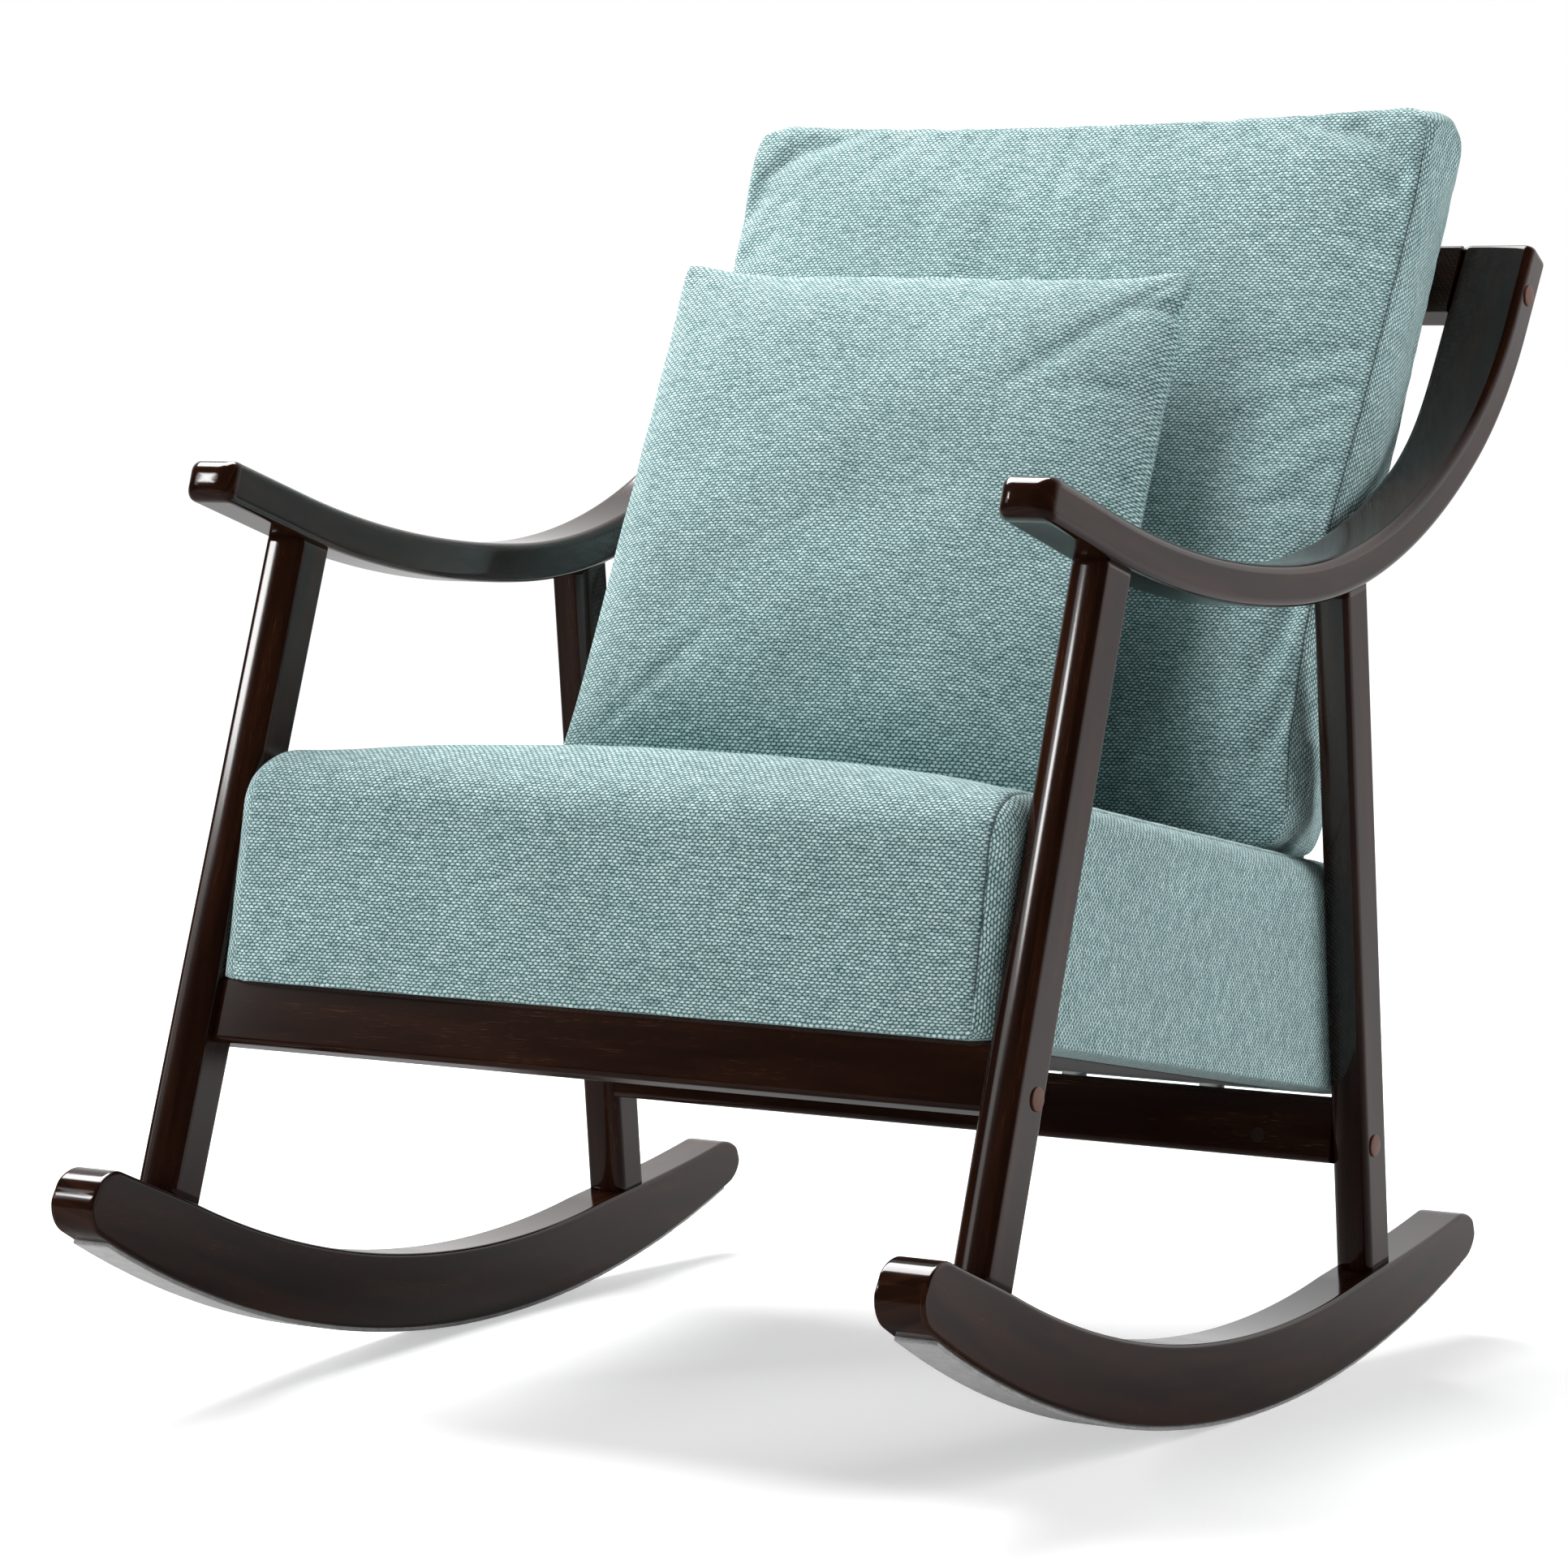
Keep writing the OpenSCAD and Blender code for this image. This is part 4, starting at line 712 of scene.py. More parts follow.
def seat_dented(xs, s, n, outs, run):
    """The skin moved along its outward directions: ripples and swellings by the seams and a groove on them,
    broad ripples, a fuller front and a wavy lower front edge. Returns places along and up, and distances to
    the seam."""
    side = np.abs(xs)
    off = side - np.where(xs > 0, SEAT_SEAMS["right"], SEAT_SEAMS["left"])
    above = ease((n - 8) / 20)
    pucker = ripple(run[None] + 0 * xs, xs * 0.35, 3, 14, 34)
    broad = ripple(xs, run[None] + 0 * xs, 8, 90, 260)
    swell = np.exp(-((off + 8) / 5) ** 2) + np.exp(-((off - 7) / 4) ** 2)
    push = (0.4 * pucker * np.exp(-(off / 9) ** 2) - 0.8 * np.exp(-(off / 1.2) ** 2)
            + swell * (0.18 + 0.12 * pucker))
    push = above * (push + 0.9 * broad * ease((290 - side) / 60))
    facing = (outs[..., 0] < -0.7) * ease((n - 6) / 30) * ease((150 - n) / 40)
    push = push + 1.2 * facing * (1 - (side / 290) ** 4)
    s, n = s + outs[..., 0] * push, n + outs[..., 1] * push
    n = n + 0.8 * (1 + ripple(xs, 0 * xs, 41, 22, 90)) * np.exp(-(n / 9) ** 2) * (outs[..., 0] < -0.6)
    return s, n, np.abs(off) + 30 * (1 - above)


def seat_flat(xs, s, n, outs, run, r, theta):
    """Flat places of the cloth in metres: across and round the profile, and on the side panels the places
    along and up, moved outwards by what the rounded edge takes up, with the weave a quarter turned."""
    steps = np.hypot(SEAT_SIDE * np.diff(np.sin(theta))[:, None], -np.diff(np.cos(theta))[:, None] * r)
    left = np.concatenate([np.cumsum(steps[::-1], 0)[::-1], np.zeros((1, len(r)))])
    left = left - np.cos(theta)[:, None] * r
    face = np.zeros((SEAT_FACE_ROWS, len(r)))
    middle = np.zeros((len(xs) - 2 * len(left) - 2 * SEAT_FACE_ROWS, len(r)))
    hem = np.concatenate([face, left[::-1], middle, left, face])
    panel_uv = np.stack([n + outs[..., 1] * hem, s + outs[..., 0] * hem], -1)
    panel_uv = np.concatenate([panel_uv, panel_uv[:, :1]], 1)
    closed_x = np.concatenate([xs, xs[:, :1]], 1)
    along = np.concatenate([run, [run[-1] + 13]])
    top_uv = np.stack([closed_x[:, :1] + 0 * closed_x, along + 0 * closed_x], -1)
    return np.where((np.abs(closed_x) > SEAT_SEAMS["right"])[..., None], panel_uv, top_uv) * 0.001


def seat_part():
    """Seat: its skin, dents and flat places as one closed surface, and each point's distance to the next
    seam."""
    loop, out, r = seat_loop()
    run = np.concatenate([[0], np.cumsum(np.linalg.norm(np.diff(loop, axis=0), axis=1))])
    theta = np.radians(np.concatenate([np.linspace(0, 20, 9), np.linspace(22, 32, 11),
                                       np.linspace(35, 90, 19)]))
    xs, s, n = seat_skin(loop, out, r, theta)
    outs = np.repeat(out[None], len(xs), 0)
    s, n, seam = seat_dented(xs, s, n, outs, run)
    part = lattice(seat_place(xs, s, n), True, seat_flat(xs, s, n, outs, run, r, theta), (True, True))
    return part, np.concatenate([seam.ravel(), [30, 30]])


def lining_part():
    """Cloth under the seat: a thin double sheet that sags a little between its tacked edges."""
    t = np.linspace(-1, 1, 61)
    x, y = np.meshgrid(t, t, indexing="ij")
    sag = 3.0 * (1 - x ** 2) * (1 - y ** 2)
    sag += 0.5 * ripple(x * 250, y * 220, 31, 40, 120) * (1 - x ** 4) * (1 - y ** 4)
    half = (SEAT_HALF - LINING_MARGIN, SEAT_LEN / 2 - LINING_MARGIN)
    sheets = [seat_place(x * half[0], SEAT_LEN / 2 + y * half[1], -0.3 + lift - sag)
              for lift in (0.0, LINING_THICK)]
    around = np.concatenate([sheets[0], sheets[1][:, ::-1]], 1)
    uv = np.zeros((len(t), around.shape[1] + 1, 2))
    uv[..., 0] = np.linspace(0, 0.5, uv.shape[0])[:, None]
    uv[..., 1] = np.linspace(0, 1.0, uv.shape[1])[None]
    return lattice(around, True, uv, (True, True))


# Cushions

def net(n, rows, w, h, power, draw, ears=2.0):
    """Cloth net of a cushion cover: a front and a rear panel of n by n squares and a strip of rows between
    them, or none where the panels share their edge. The panels are rounded at the corners by a superellipse
    of a power and pulled in between them by draw (1 - |x|^ears). Returns places and shares of the half
    width and height, the faces of the front, the rear and the strip, and the numbers of the edge."""
    t = np.linspace(-1, 1, n + 1)
    t = 0.72 * t + 0.28 * np.sin(np.pi / 2 * t)
    x, y = np.meshgrid(t, t, indexing="ij")
    m = np.maximum(np.maximum(np.abs(x), np.abs(y)), 1e-9)
    k = np.maximum(np.abs(x / m) ** power + np.abs(y / m) ** power, 1) ** (-1 / power)
    k = 1 + (k - 1) * m ** 6
    x, y = x * k, y * k
    px = x * (w / 2 - draw[0] * (1 - np.abs(y) ** ears) * np.abs(x) ** 2)
    py = y * (h / 2 - draw[1] * (1 - np.abs(x) ** ears) * np.abs(y) ** 2)
    i = np.arange(n)
    edge = np.concatenate([i * (n + 1), n * (n + 1) + i, (n - i) * (n + 1) + n, n - i])
    q = (i[:, None] * (n + 1) + i[None]).ravel()
    front = np.stack([q, q + n + 1, q + n + 2, q + 1], 1)
    count = (n + 1) ** 2
    if not rows:
        shared = np.zeros(count, bool)
        shared[edge] = True
        number = np.where(shared, np.arange(count), count + np.cumsum(~shared) - 1)
        return px, py, x, y, front, number[front[:, ::-1]], None, edge
    ring = [edge] + [2 * count + row * 4 * n + np.arange(4 * n) for row in range(rows - 1)] + [count + edge]
    ring = np.array(ring)
    after = np.roll(ring, -1, 1)
    strip = np.stack([ring[:-1], ring[1:], after[1:], after[:-1]], -1).reshape(-1, 4)
    return px, py, x, y, front, front[:, ::-1] + count, strip, edge


def puff(obj, held, pressure, slack, cap):
    """Blows a cover up with the cloth solver, its seams held. A move d is softened to cap tanh(d / cap)."""
    start = places(obj)
    group = obj.vertex_groups.new(name="held seam")
    group.add(held.tolist(), 1.0, "REPLACE")
    mod = obj.modifiers.new("puff", "CLOTH")
    own = mod.settings
    own.quality = 5
    own.mass = 0.3
    own.tension_stiffness = own.compression_stiffness = 15
    own.shear_stiffness = 5
    own.bending_stiffness = 0.5
    own.vertex_group_mass = group.name
    own.use_pressure = True
    own.uniform_pressure_force = pressure
    own.shrink_min = -slack
    own.effector_weights.gravity = 0
    mod.collision_settings.use_collision = False
    mod.collision_settings.use_self_collision = False
    mod.point_cache.frame_start = 1
    mod.point_cache.frame_end = 24
    scene = bpy.context.scene
    for step in range(1, 21):
        scene.frame_set(step)
    ready = obj.evaluated_get(bpy.context.evaluated_depsgraph_get())
    co = np.empty(len(ready.data.vertices) * 3, np.float32)
    ready.data.vertices.foreach_get("co", co)
    obj.modifiers.clear()
    obj.vertex_groups.clear()
    scene.frame_set(1)
    move = co.reshape(-1, 3) * 1000.0 - start
    far = np.linalg.norm(move, axis=1)[:, None]
    if not np.isfinite(far).all():
        raise RuntimeError("the cloth solver gave no usable shape for " + obj.name)
    set_places(obj, start + move * (cap * np.tanh(far / cap) / np.maximum(far, 1e-6)))


def bag_inside(cover_name, name, axes, shares, material, body, node):
    """Inner bag of a cushion: the cover's own surface at shares of its size along its own axes, about its
    middle."""
    cover = bpy.data.objects.get(cover_name)
    if cover is None:
        raise RuntimeError("an inner bag takes its shape from its cover, which is made first")
    obj = bpy.data.objects.new(name, cover.data.copy())
    bpy.context.scene.collection.objects.link(obj)
    co = places(cover)
    mid = (co.max(0) + co.min(0)) / 2
    set_places(obj, mid + ((co - mid) @ axes) * np.array(shares) @ axes.T)
    finish(obj, material, "cream_ticking", body, node)


def seam_line(u):
    """How far forward the back cushion's side seams lie at heights u: the filling has sunk towards the
    lower half."""
    heights = [-281, -253, -200, -118, -15, 161, 203, 247, 281]
    return np.interp(u, heights, [38, 42.7, 57, 60, 49, 39, 38.5, 42, 42])


def back_local(co):
    """From the chair's frame to the back cushion's: across, up along it, and out of its front."""
    d = co - BACK_O
    return d[..., 0], d @ BACK_UP, d @ BACK_OUT


def back_world(x, u, v):
    """From the back cushion's frame to the chair's."""
    across = np.multiply.outer(x, [1.0, 0, 0])
    return BACK_O + across + np.multiply.outer(u, BACK_UP) + np.multiply.outer(v, BACK_OUT)


def back_rise(y, v):
    """How far the cushion's lower edge lifts at a share y of the half height, from its front seams to its
    rear."""
    return 18 * (0.5 - v / BACK_T) * ease(-y * 1.5 - 0.5)


def back_wall(x, u):
    """Depth that the cushion's rear may reach, bulged between the slats' edges and flat at its own."""
    xs, us = np.clip(np.abs(x) / 282, 0, 1), np.clip(np.abs(u) / 281, 0, 1)
    return -BACK_T / 2 - 24 * (1 - xs ** 2.4) * (1 - us ** 2.4)


def back_cover():
    """Boxed cover of the back cushion: crowned panels, and a strip between their edges that swells by a
    parabola. Its seams are held while it is blown up. Each point keeps its distance to the next seam and
    its panel: 0 for the front, 1 for the rear and 2 for the strip."""
    n, rows = 84, 12
    px, py, x, y, front, rear, strip, edge = net(n, rows, BACK_W, BACK_H, 24, (8, 8))
    half, sim = BACK_T / 2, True
    crown = (1 - np.abs(x) ** 2.4) * (1 - np.abs(y) ** 2.4)
    seam_v = half + (seam_line(py) - half) * np.abs(x) ** 4
    front_v = seam_v + 26 * crown * (0.45 if sim else 1.0)
    rear_v = -half - 24 * crown * (0.6 if sim else 1.0)
    lx, ly, sx, sy, lv = (kind.ravel()[edge] for kind in (px, py, x, y, front_v))
    t = np.linspace(0, 1, rows + 1)[1:-1, None]
    v = lv + (-half - lv) * t
    swell = 2.0 * 4 * t * (1 - t)
    sideways = np.abs(sx) > np.abs(sy)
    bx = lx + np.sign(sx) * sideways * swell
    by = ly + np.sign(sy) * ~sideways * swell + back_rise(sy, v)
    co = np.concatenate([back_world(px, py + back_rise(y, seam_v), front_v).reshape(-1, 3),
                         back_world(px, py + back_rise(y, -half), rear_v).reshape(-1, 3),
                         back_world(bx, by, v).reshape(-1, 3)])
    flat = np.stack([px, py], -1).reshape(-1, 2)
    steps = np.hypot(np.diff(lx, append=lx[0]), np.diff(ly, append=ly[0]))
    around = np.concatenate([[0], np.cumsum(steps)])
    across = np.linspace(0, BACK_BOXING, rows + 1)
    r, k = np.meshgrid(np.arange(rows), np.arange(4 * n), indexing="ij")
    corners = ((0, 0), (0, 1), (1, 1), (1, 0))
    strip_uv = np.stack([np.stack([around[k + a], across[r + b]], -1) for a, b in corners], 2)
    strip_uv = strip_uv.reshape(-1, 4, 2)
    uv = np.concatenate([flat[front], flat[rear - len(flat)] * [-1, 1], strip_uv]) * 0.001
    quads = np.concatenate([front, rear, strip])
    obj = new_mesh("back_cushion_body", (co, quads, np.zeros((0, 3), int), uv, np.zeros((0, 3, 2))), "weave")
    near = np.minimum((1 - np.maximum(np.abs(x), np.abs(y))) * BACK_W / 2, 200).ravel()
    row = (np.minimum(t, 1 - t) * BACK_BOXING + 0 * lx).ravel()
    set_values(obj, "seam_gap", np.concatenate([near, near, row]))
    set_values(obj, "panel", np.repeat([0.0, 1.0, 2.0], (near.size, near.size, row.size)))
    if sim:
        puff(obj, np.concatenate([edge, edge + len(flat)]), 3.5, 0.012, 24)
    return obj


def back_held(x, u, v, panel):
    """The blown cover as it sits in the chair: narrowed to its room between the arms and towards the rear,
    its top tilted and its rear top full, and its top corners round."""
    limit = BACK_W / 2 + 3.2
    x = np.clip(x, -limit, limit)
    rear = ease((34 - v) / 74)
    x = x * (1 - 0.040 * rear) + 3.4 * ease((x - 100) / 150) * ease((u + 40) / 120)
    u = u + 4.5 * ease((x + 280) / 560) * ease((u - 150) / 110) + 16 * ease((u - 170) / 110) * rear
    corner = 7 * ease((np.abs(x) - 225) / 45) * ease((u - 225) / 45)
    corner = corner * (panel > 1.2) * np.clip(1 - ((v - 3) / 39) ** 2, 0, 1)
    return x + np.sign(x) * corner, u + corner, v


def back_dents(x, u, v, run, gap, panel):
    """How far out the back cushion's points are pushed: a groove on the seams with a swelling and ripples
    beside it, broad ripples on the front, and creases in the front and across the boxing."""
    push = -0.9 * np.exp(-(gap / 1.6) ** 2) + 0.4 * np.exp(-((gap - 7) / 4) ** 2)
    push += np.where(panel < 0.5, 0.45, 0.27) * ripple(run, gap * 0.3, 11, 18, 46) * np.exp(-(gap / 26) ** 2)
    push += 1.3 * ripple(x, u, 12, 70, 220) * ease((gap - 10) / 60) * (panel < 0.5)
    for x0, u0, x1, u1, wide, deep in BACK_CREASES:
        push -= deep * crease(x, u, x0, u0, x1, u1, wide) * (panel < 0.6)
    boxing = (panel > 1.2) * ease(gap / 14)
    for u0, wide, deep in BOXING_CREASES:
        push -= deep * np.exp(-((u - u0 + 0.25 * (v - 20)) / wide) ** 2) * boxing * (x > 200)
        push -= deep * np.exp(-((u - 0.8 * u0 + 0.2 * (v - 20)) / wide) ** 2) * boxing * (x < -200)
    return push


def above_seat(co, gap):
    """Points lifted out of the seat's crowned top, to a gap above it."""
    s, n = seat_frame(co)
    low = np.maximum(SEAT_H + seat_crown(co[:, 0], s) + gap - n, 0) * (n > 100)
    co = co.copy()
    co[:, 1:] += low[:, None] * heading(SEAT_SLOPE + 90)
    return co


def back_cushion():
    """Back cushion: its cover, made finer, held in the chair, dented, and kept off the slats and the
    seat."""
    obj = back_cover()
    finer(obj)
    gap, panel = get_values(obj, "seam_gap"), get_values(obj, "panel")
    x, u, v = back_local(places(obj))
    run = np.arctan2(x, u) * 300
    x, u, v = back_held(x, u, v, panel)
    wall = back_wall(x, u) + 0.2
    v = np.maximum(v, wall)
    co = back_world(x, u, v)
    set_places(obj, co)
    co = co + normals(obj) * back_dents(x, u, v, run, gap, panel)[:, None]
    x, u, v = back_local(co)
    limit = BACK_W / 2 + 3.2
    co = back_world(np.clip(x, -limit, limit), u, np.maximum(v, wall))
    set_places(obj, above_seat(co, 1.6))
    return obj


def crease(x, y, x0, y0, x1, y1, wide):
    """A soft fold from one point to another: a bell across it that fades towards its far end."""
    dx, dy = x1 - x0, y1 - y0
    long = math.hypot(dx, dy)
    t = ((x - x0) * dx + (y - y0) * dy) / long
    off = ((x - x0) * -dy + (y - y0) * dx) / long
    off = off + 0.08 * long * np.sin(np.clip(t / long, 0, 1) * np.pi)
    fade = ease((t + 12) / 24) * ease(1.15 - t / long)
    return np.exp(-(off / wide) ** 2) * fade


def turned(angle):
    """Turn about the third axis by an angle."""
    c, s = math.cos(angle), math.sin(angle)
    return np.array([[c, -s, 0], [s, c, 0], [0, 0, 1]])


def pillow_axes():
    """The pillow's own axes: turned about the upright, leaned back, and rolled in its own plane."""
    upright, back, roll = (math.radians(v) for v in PILLOW_TURNS)
    c, s = math.cos(back), math.sin(back)
    lean = np.array([[1, 0, 0], [0, c, -s], [0, s, c]])
    return turned(upright) @ lean @ turned(roll)


def pillow_cover(axes):
    """Two panels sewn edge to edge, their depth the root-like dome ((1 - |x|^3.2) (1 - |y|^3.2))^0.55, a
    little bent, and blown up with the edge held. Each point keeps its distance to the edge and its panel: 0
    front, 1 rear."""
    n = 78
    px, py, x, y, front, rear, _, edge = net(n, 0, PILLOW_W, PILLOW_H, 22, (6, 17), 6.0)
    m = np.maximum(np.abs(x), np.abs(y))
    dome = np.maximum((1 - np.abs(x) ** 3.2) * (1 - np.abs(y) ** 3.2), 0) ** 0.55
    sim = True
    z = PILLOW_DOME * dome * (0.72 if sim else 1.0)
    bend = (4.0 * x * y + 3.0 * np.sin(2.2 * x + 0.4)) * m ** 2
    sheets = [np.stack([px, py, side * z + bend], -1).reshape(-1, 3) for side in (1, -1)]
    inside = np.ones(len(sheets[0]), bool)
    inside[edge] = False
    co = PILLOW_O + np.concatenate([sheets[0], sheets[1][inside]]) @ axes.T
    flat = np.stack([px, py], -1).reshape(-1, 2)
    flat = np.concatenate([flat, flat[inside]])
    uv = np.concatenate([flat[front], flat[rear] * [-1, 1]]) * 0.001
    quads = np.concatenate([front, rear])
    obj = new_mesh("pillow_body", (co, quads, np.zeros((0, 3), int), uv, np.zeros((0, 3, 2))), "weave")
    gap = ((1 - m) * PILLOW_W / 2).ravel()
    set_values(obj, "seam_gap", np.concatenate([gap, gap[inside]]))
    set_values(obj, "panel", np.concatenate([np.where(inside, 0.0, 0.5), np.ones(inside.sum())]))
    if sim:
        puff(obj, edge, 3.2, 0.0, 24)
    return obj


def pillow(behind):
    """Pillow: its cover, made finer, rippled by the edge, creased, pulled in below its right ear, and kept
    clear of the back cushion's front and of the seat."""
    axes = pillow_axes()
    obj = pillow_cover(axes)
    finer(obj)
    co = places(obj)
    gap, panel = get_values(obj, "seam_gap"), get_values(obj, "panel")
    x, y, _ = ((co - PILLOW_O) @ axes).T
    run = np.arctan2(x, y) * 220
    push = 0.8 * ripple(run, gap * 0.25, 21, 26, 70) * np.exp(-(gap / 30) ** 2) * ease(gap / 8)
    push += 2.0 * ripple(x, y, 22, 80, 240) * ease((gap - 8) / 60)
    for x0, y0, x1, y1, wide, deep in PILLOW_CREASES:
        push -= deep * crease(x, y, x0, y0, x1, y1, wide) * np.where(panel < 0.55, 1.0, 0.3)
    notch = 4.5 * np.exp(-((y - 172) / 10) ** 2) * ease((x - 150) / 50)
    co = co + normals(obj) * push[:, None] - notch[:, None] * axes[:, 0]
    set_places(obj, above_seat(clear_of_cushion(co, behind), 1.4))
    set_values(obj, "seam_gap", gap + 0.8)
    return obj


def clear_of_cushion(co, behind):
    """Points moved out of the back cushion's front: its highest places are kept on a 4 mm raster and
    spread."""
    bx, bu, bv = back_local(places(behind))
    lx, lu, lv = back_local(co)
    step, low, empty = 4.0, -330.0, -1e3
    size = int(-2 * low / step) + 1
    top = np.full((size, size), empty)
    i, j = ((bx - low) / step).astype(int), ((bu - low) / step).astype(int)
    ok = (i >= 0) & (j >= 0) & (i < size) & (j < size)
    np.maximum.at(top, (i[ok], j[ok]), bv[ok])
    for _ in range(2):
        pad = np.pad(top, 1, constant_values=empty)
        top = np.max([pad[a:a + size, b:b + size] for a in range(3) for b in range(3)], 0)
    i = np.clip(((lx - low) / step).astype(int), 0, size - 1)
    j = np.clip(((lu - low) / step).astype(int), 0, size - 1)
    need = np.where(top[i, j] > empty / 2, np.maximum(top[i, j] + 0.6 - lv, 0), 0)
    return co + need[:, None] * BACK_OUT


# Settings

class ChairWood(bpy.types.PropertyGroup):
    """Lacquered wood of the frame."""
    stain: FloatVectorProperty(
        name="Stain", description="Colour of the stained wood",
        subtype="COLOR", size=3, default=(0.0098, 0.0032, 0.0017), min=0, max=1)
    streak: FloatVectorProperty(
        name="Grain", description="Colour of the lighter grain",
        subtype="COLOR", size=3, default=(0.027, 0.0088, 0.004), min=0, max=1)
    # The pores' colour is a painted glint: lighter specks for light caught in the open pores.
    pore: FloatVectorProperty(
        name="Pores", description="Colour of the fine pores that catch the light",
        subtype="COLOR", size=3, default=(0.12, 0.06, 0.03), min=0, max=1)
    roughness: FloatProperty(
        name="Roughness", description="Roughness of the wood under the lacquer",
        subtype="FACTOR", default=0.34, min=0.05, max=1)
    coat: FloatProperty(
        name="Lacquer", description="Weight of the clear lacquer",
        subtype="FACTOR", default=1.0, min=0, max=1)
    coat_roughness: FloatProperty(
        name="Lacquer roughness", description="Roughness of the clear lacquer",
        subtype="FACTOR", default=0.12, min=0, max=1)


class ChairFabric(bpy.types.PropertyGroup):
    """Woven upholstery of the seat and cushions."""
    pale: FloatVectorProperty(
        name="Pale yarn", description="Colour of the pale yarn",
        subtype="COLOR", size=3, default=(0.78, 0.96, 0.97), min=0, max=1)
    pale_low: FloatVectorProperty(
        name="Pale yarn, shaded", description="Darker shade of the pale yarn",
        subtype="COLOR", size=3, default=(0.36, 0.55, 0.555), min=0, max=1)
    deep: FloatVectorProperty(
        name="Ground yarn", description="Colour of the ground yarn",
        subtype="COLOR", size=3, default=(0.1, 0.205, 0.21), min=0, max=1)
    deep_low: FloatVectorProperty(
        name="Ground yarn, shaded", description="Darker shade of the ground yarn",
        subtype="COLOR", size=3, default=(0.03, 0.08, 0.083), min=0, max=1)
    pitch: FloatProperty(
        name="Weave pitch", description="Distance between two stitches of a row",
        unit="LENGTH", default=0.0042, min=0.002, max=0.01)
    wander: FloatProperty(
        name="Weave drift", description="How far the rows of the weave wander",
        unit="LENGTH", default=0.0028, min=0, max=0.01)
    jitter: FloatProperty(
        name="Yarn jitter", description="How far single stitches sit off their place",
        unit="LENGTH", default=0.0010, min=0, max=0.004)
    relief: FloatProperty(
        name="Relief", description="Height of the stitches",
        unit="LENGTH", default=0.0007, min=0, max=0.002)
    sheen: FloatProperty(
        name="Sheen", description="Weight of the soft sheen of the yarn's fuzz",
        subtype="FACTOR", default=0.25, min=0, max=1)


class ChairStage(bpy.types.PropertyGroup):
    """Studio light round the chair."""
    top: FloatProperty(
        name="Top light", description="Power of the large light over the chair",
        unit="POWER", default=182, min=0, max=500)
    left: FloatProperty(
        name="Left light", description="Power of the light on the left",
        unit="POWER", default=3.5, min=0, max=500)
    box: FloatProperty(
        name="Front box", description="Power of the small bright box in front on the left",
        unit="POWER", default=10, min=0, max=500)
    fill: FloatProperty(
        name="Front fill", description="Power of the soft light from the front",
        unit="POWER", default=32, min=0, max=500)
    right: FloatProperty(
        name="Right light", description="Power of the large light on the right",
        unit="POWER", default=74, min=0, max=500)
    ambient: FloatProperty(
        name="Ambient", description="Strength of the even light from all round",
        default=0.1, min=0, max=3)


# Operators

class ChairPieceOperator:
    """What the chair's operators share."""
    bl_options = {"REGISTER", "UNDO"}


class CHAIR_OT_frame(ChairPieceOperator, bpy.types.Operator):
    """Make the arms, legs and rockers of the frame."""
    bl_idname = "chair.frame"
    bl_label = "Arms, legs and rockers"

    def execute(self, context):
        wood = lacquer("lacquered wood along the piece", "grain")
        right_side = {"front_leg": leg_part(*FRONT_LEG), "rear_leg": leg_part(*REAR_LEG),
                      "arm": arm_part(), "rocker": rocker_part()}
        for stem, part in right_side.items():
            for side, made in (("right", part), ("left", mirrored(part))):
                node = f"{stem}_{side}"
                finish(new_mesh(f"{node}_wood", made), wood, "lacquered_wood", "frame", node)
        return {"FINISHED"}


class CHAIR_OT_rails(ChairPieceOperator, bpy.types.Operator):
    """Finish the rails and the slats, which keep their solids' shapes."""
    bl_idname = "chair.rails"
    bl_label = "Rails and slats"

    def execute(self, context):
        cross = lacquer("lacquered wood across the chair", (0, 0, 0))
        upright = lacquer("lacquered wood up the slats", (0, 66, 0))
        for node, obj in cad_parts.items():
            if node.endswith("_rail"):
                dress(obj, cross)
            if node.startswith("back_slat"):
                dress(obj, upright)
        return {"FINISHED"}


class CHAIR_OT_trim(ChairPieceOperator, bpy.types.Operator):
    """Make the bolt caps and the felt strips."""
    bl_idname = "chair.trim"
    bl_label = "Bolt caps and felt"

    def execute(self, context):
        brown = plain_stuff("reddish brown plastic", (0.12, 0.045, 0.028), (0.09, 0.035, 0.022), 500, 0.35,
                            0.00005)
        felt = plain_stuff("pressed grey felt", (0.36, 0.36, 0.355), (0.22, 0.22, 0.22), 1400, 0.97, 0.0004,
                           sheen=0.3)
        caps = [cap_part(*place) for place in CAPS]
        domes = new_mesh("bolt_cap_domes", joined(caps + [mirrored(cap) for cap in caps]))
        finish(domes, brown, "brown_plastic", "frame", "bolt_caps")
        strip = felt_part()
        for side, part in (("right", strip), ("left", mirrored(strip))):
            finish(new_mesh(f"felt_{side}_soft", part), felt, "grey_felt", "frame", f"felt_strip_{side}")
        return {"FINISHED"}


class CHAIR_OT_seat(ChairPieceOperator, bpy.types.Operator):
    """Make the upholstered seat and the cloth under it."""
    bl_idname = "chair.seat"
    bl_label = "Seat"

    def execute(self, context):
        part, seam = seat_part()
        seat = new_mesh("seat_upholstery", part, "weave")
        set_values(seat, "seam_gap", seam)
        finish(seat, upholstery(), "seafoam_fabric", "frame", "seat_cover")
        black = ribbed("black lining cloth", (0.02, 0.02, 0.02), (0.035, 0.035, 0.035), 0, 0.0016, 0.95,
                       0.0001)
        lining = new_mesh("seat_lining", lining_part(), "weave")
        finish(lining, black, "black_cloth", "frame", "seat_dust_cover")
        return {"FINISHED"}


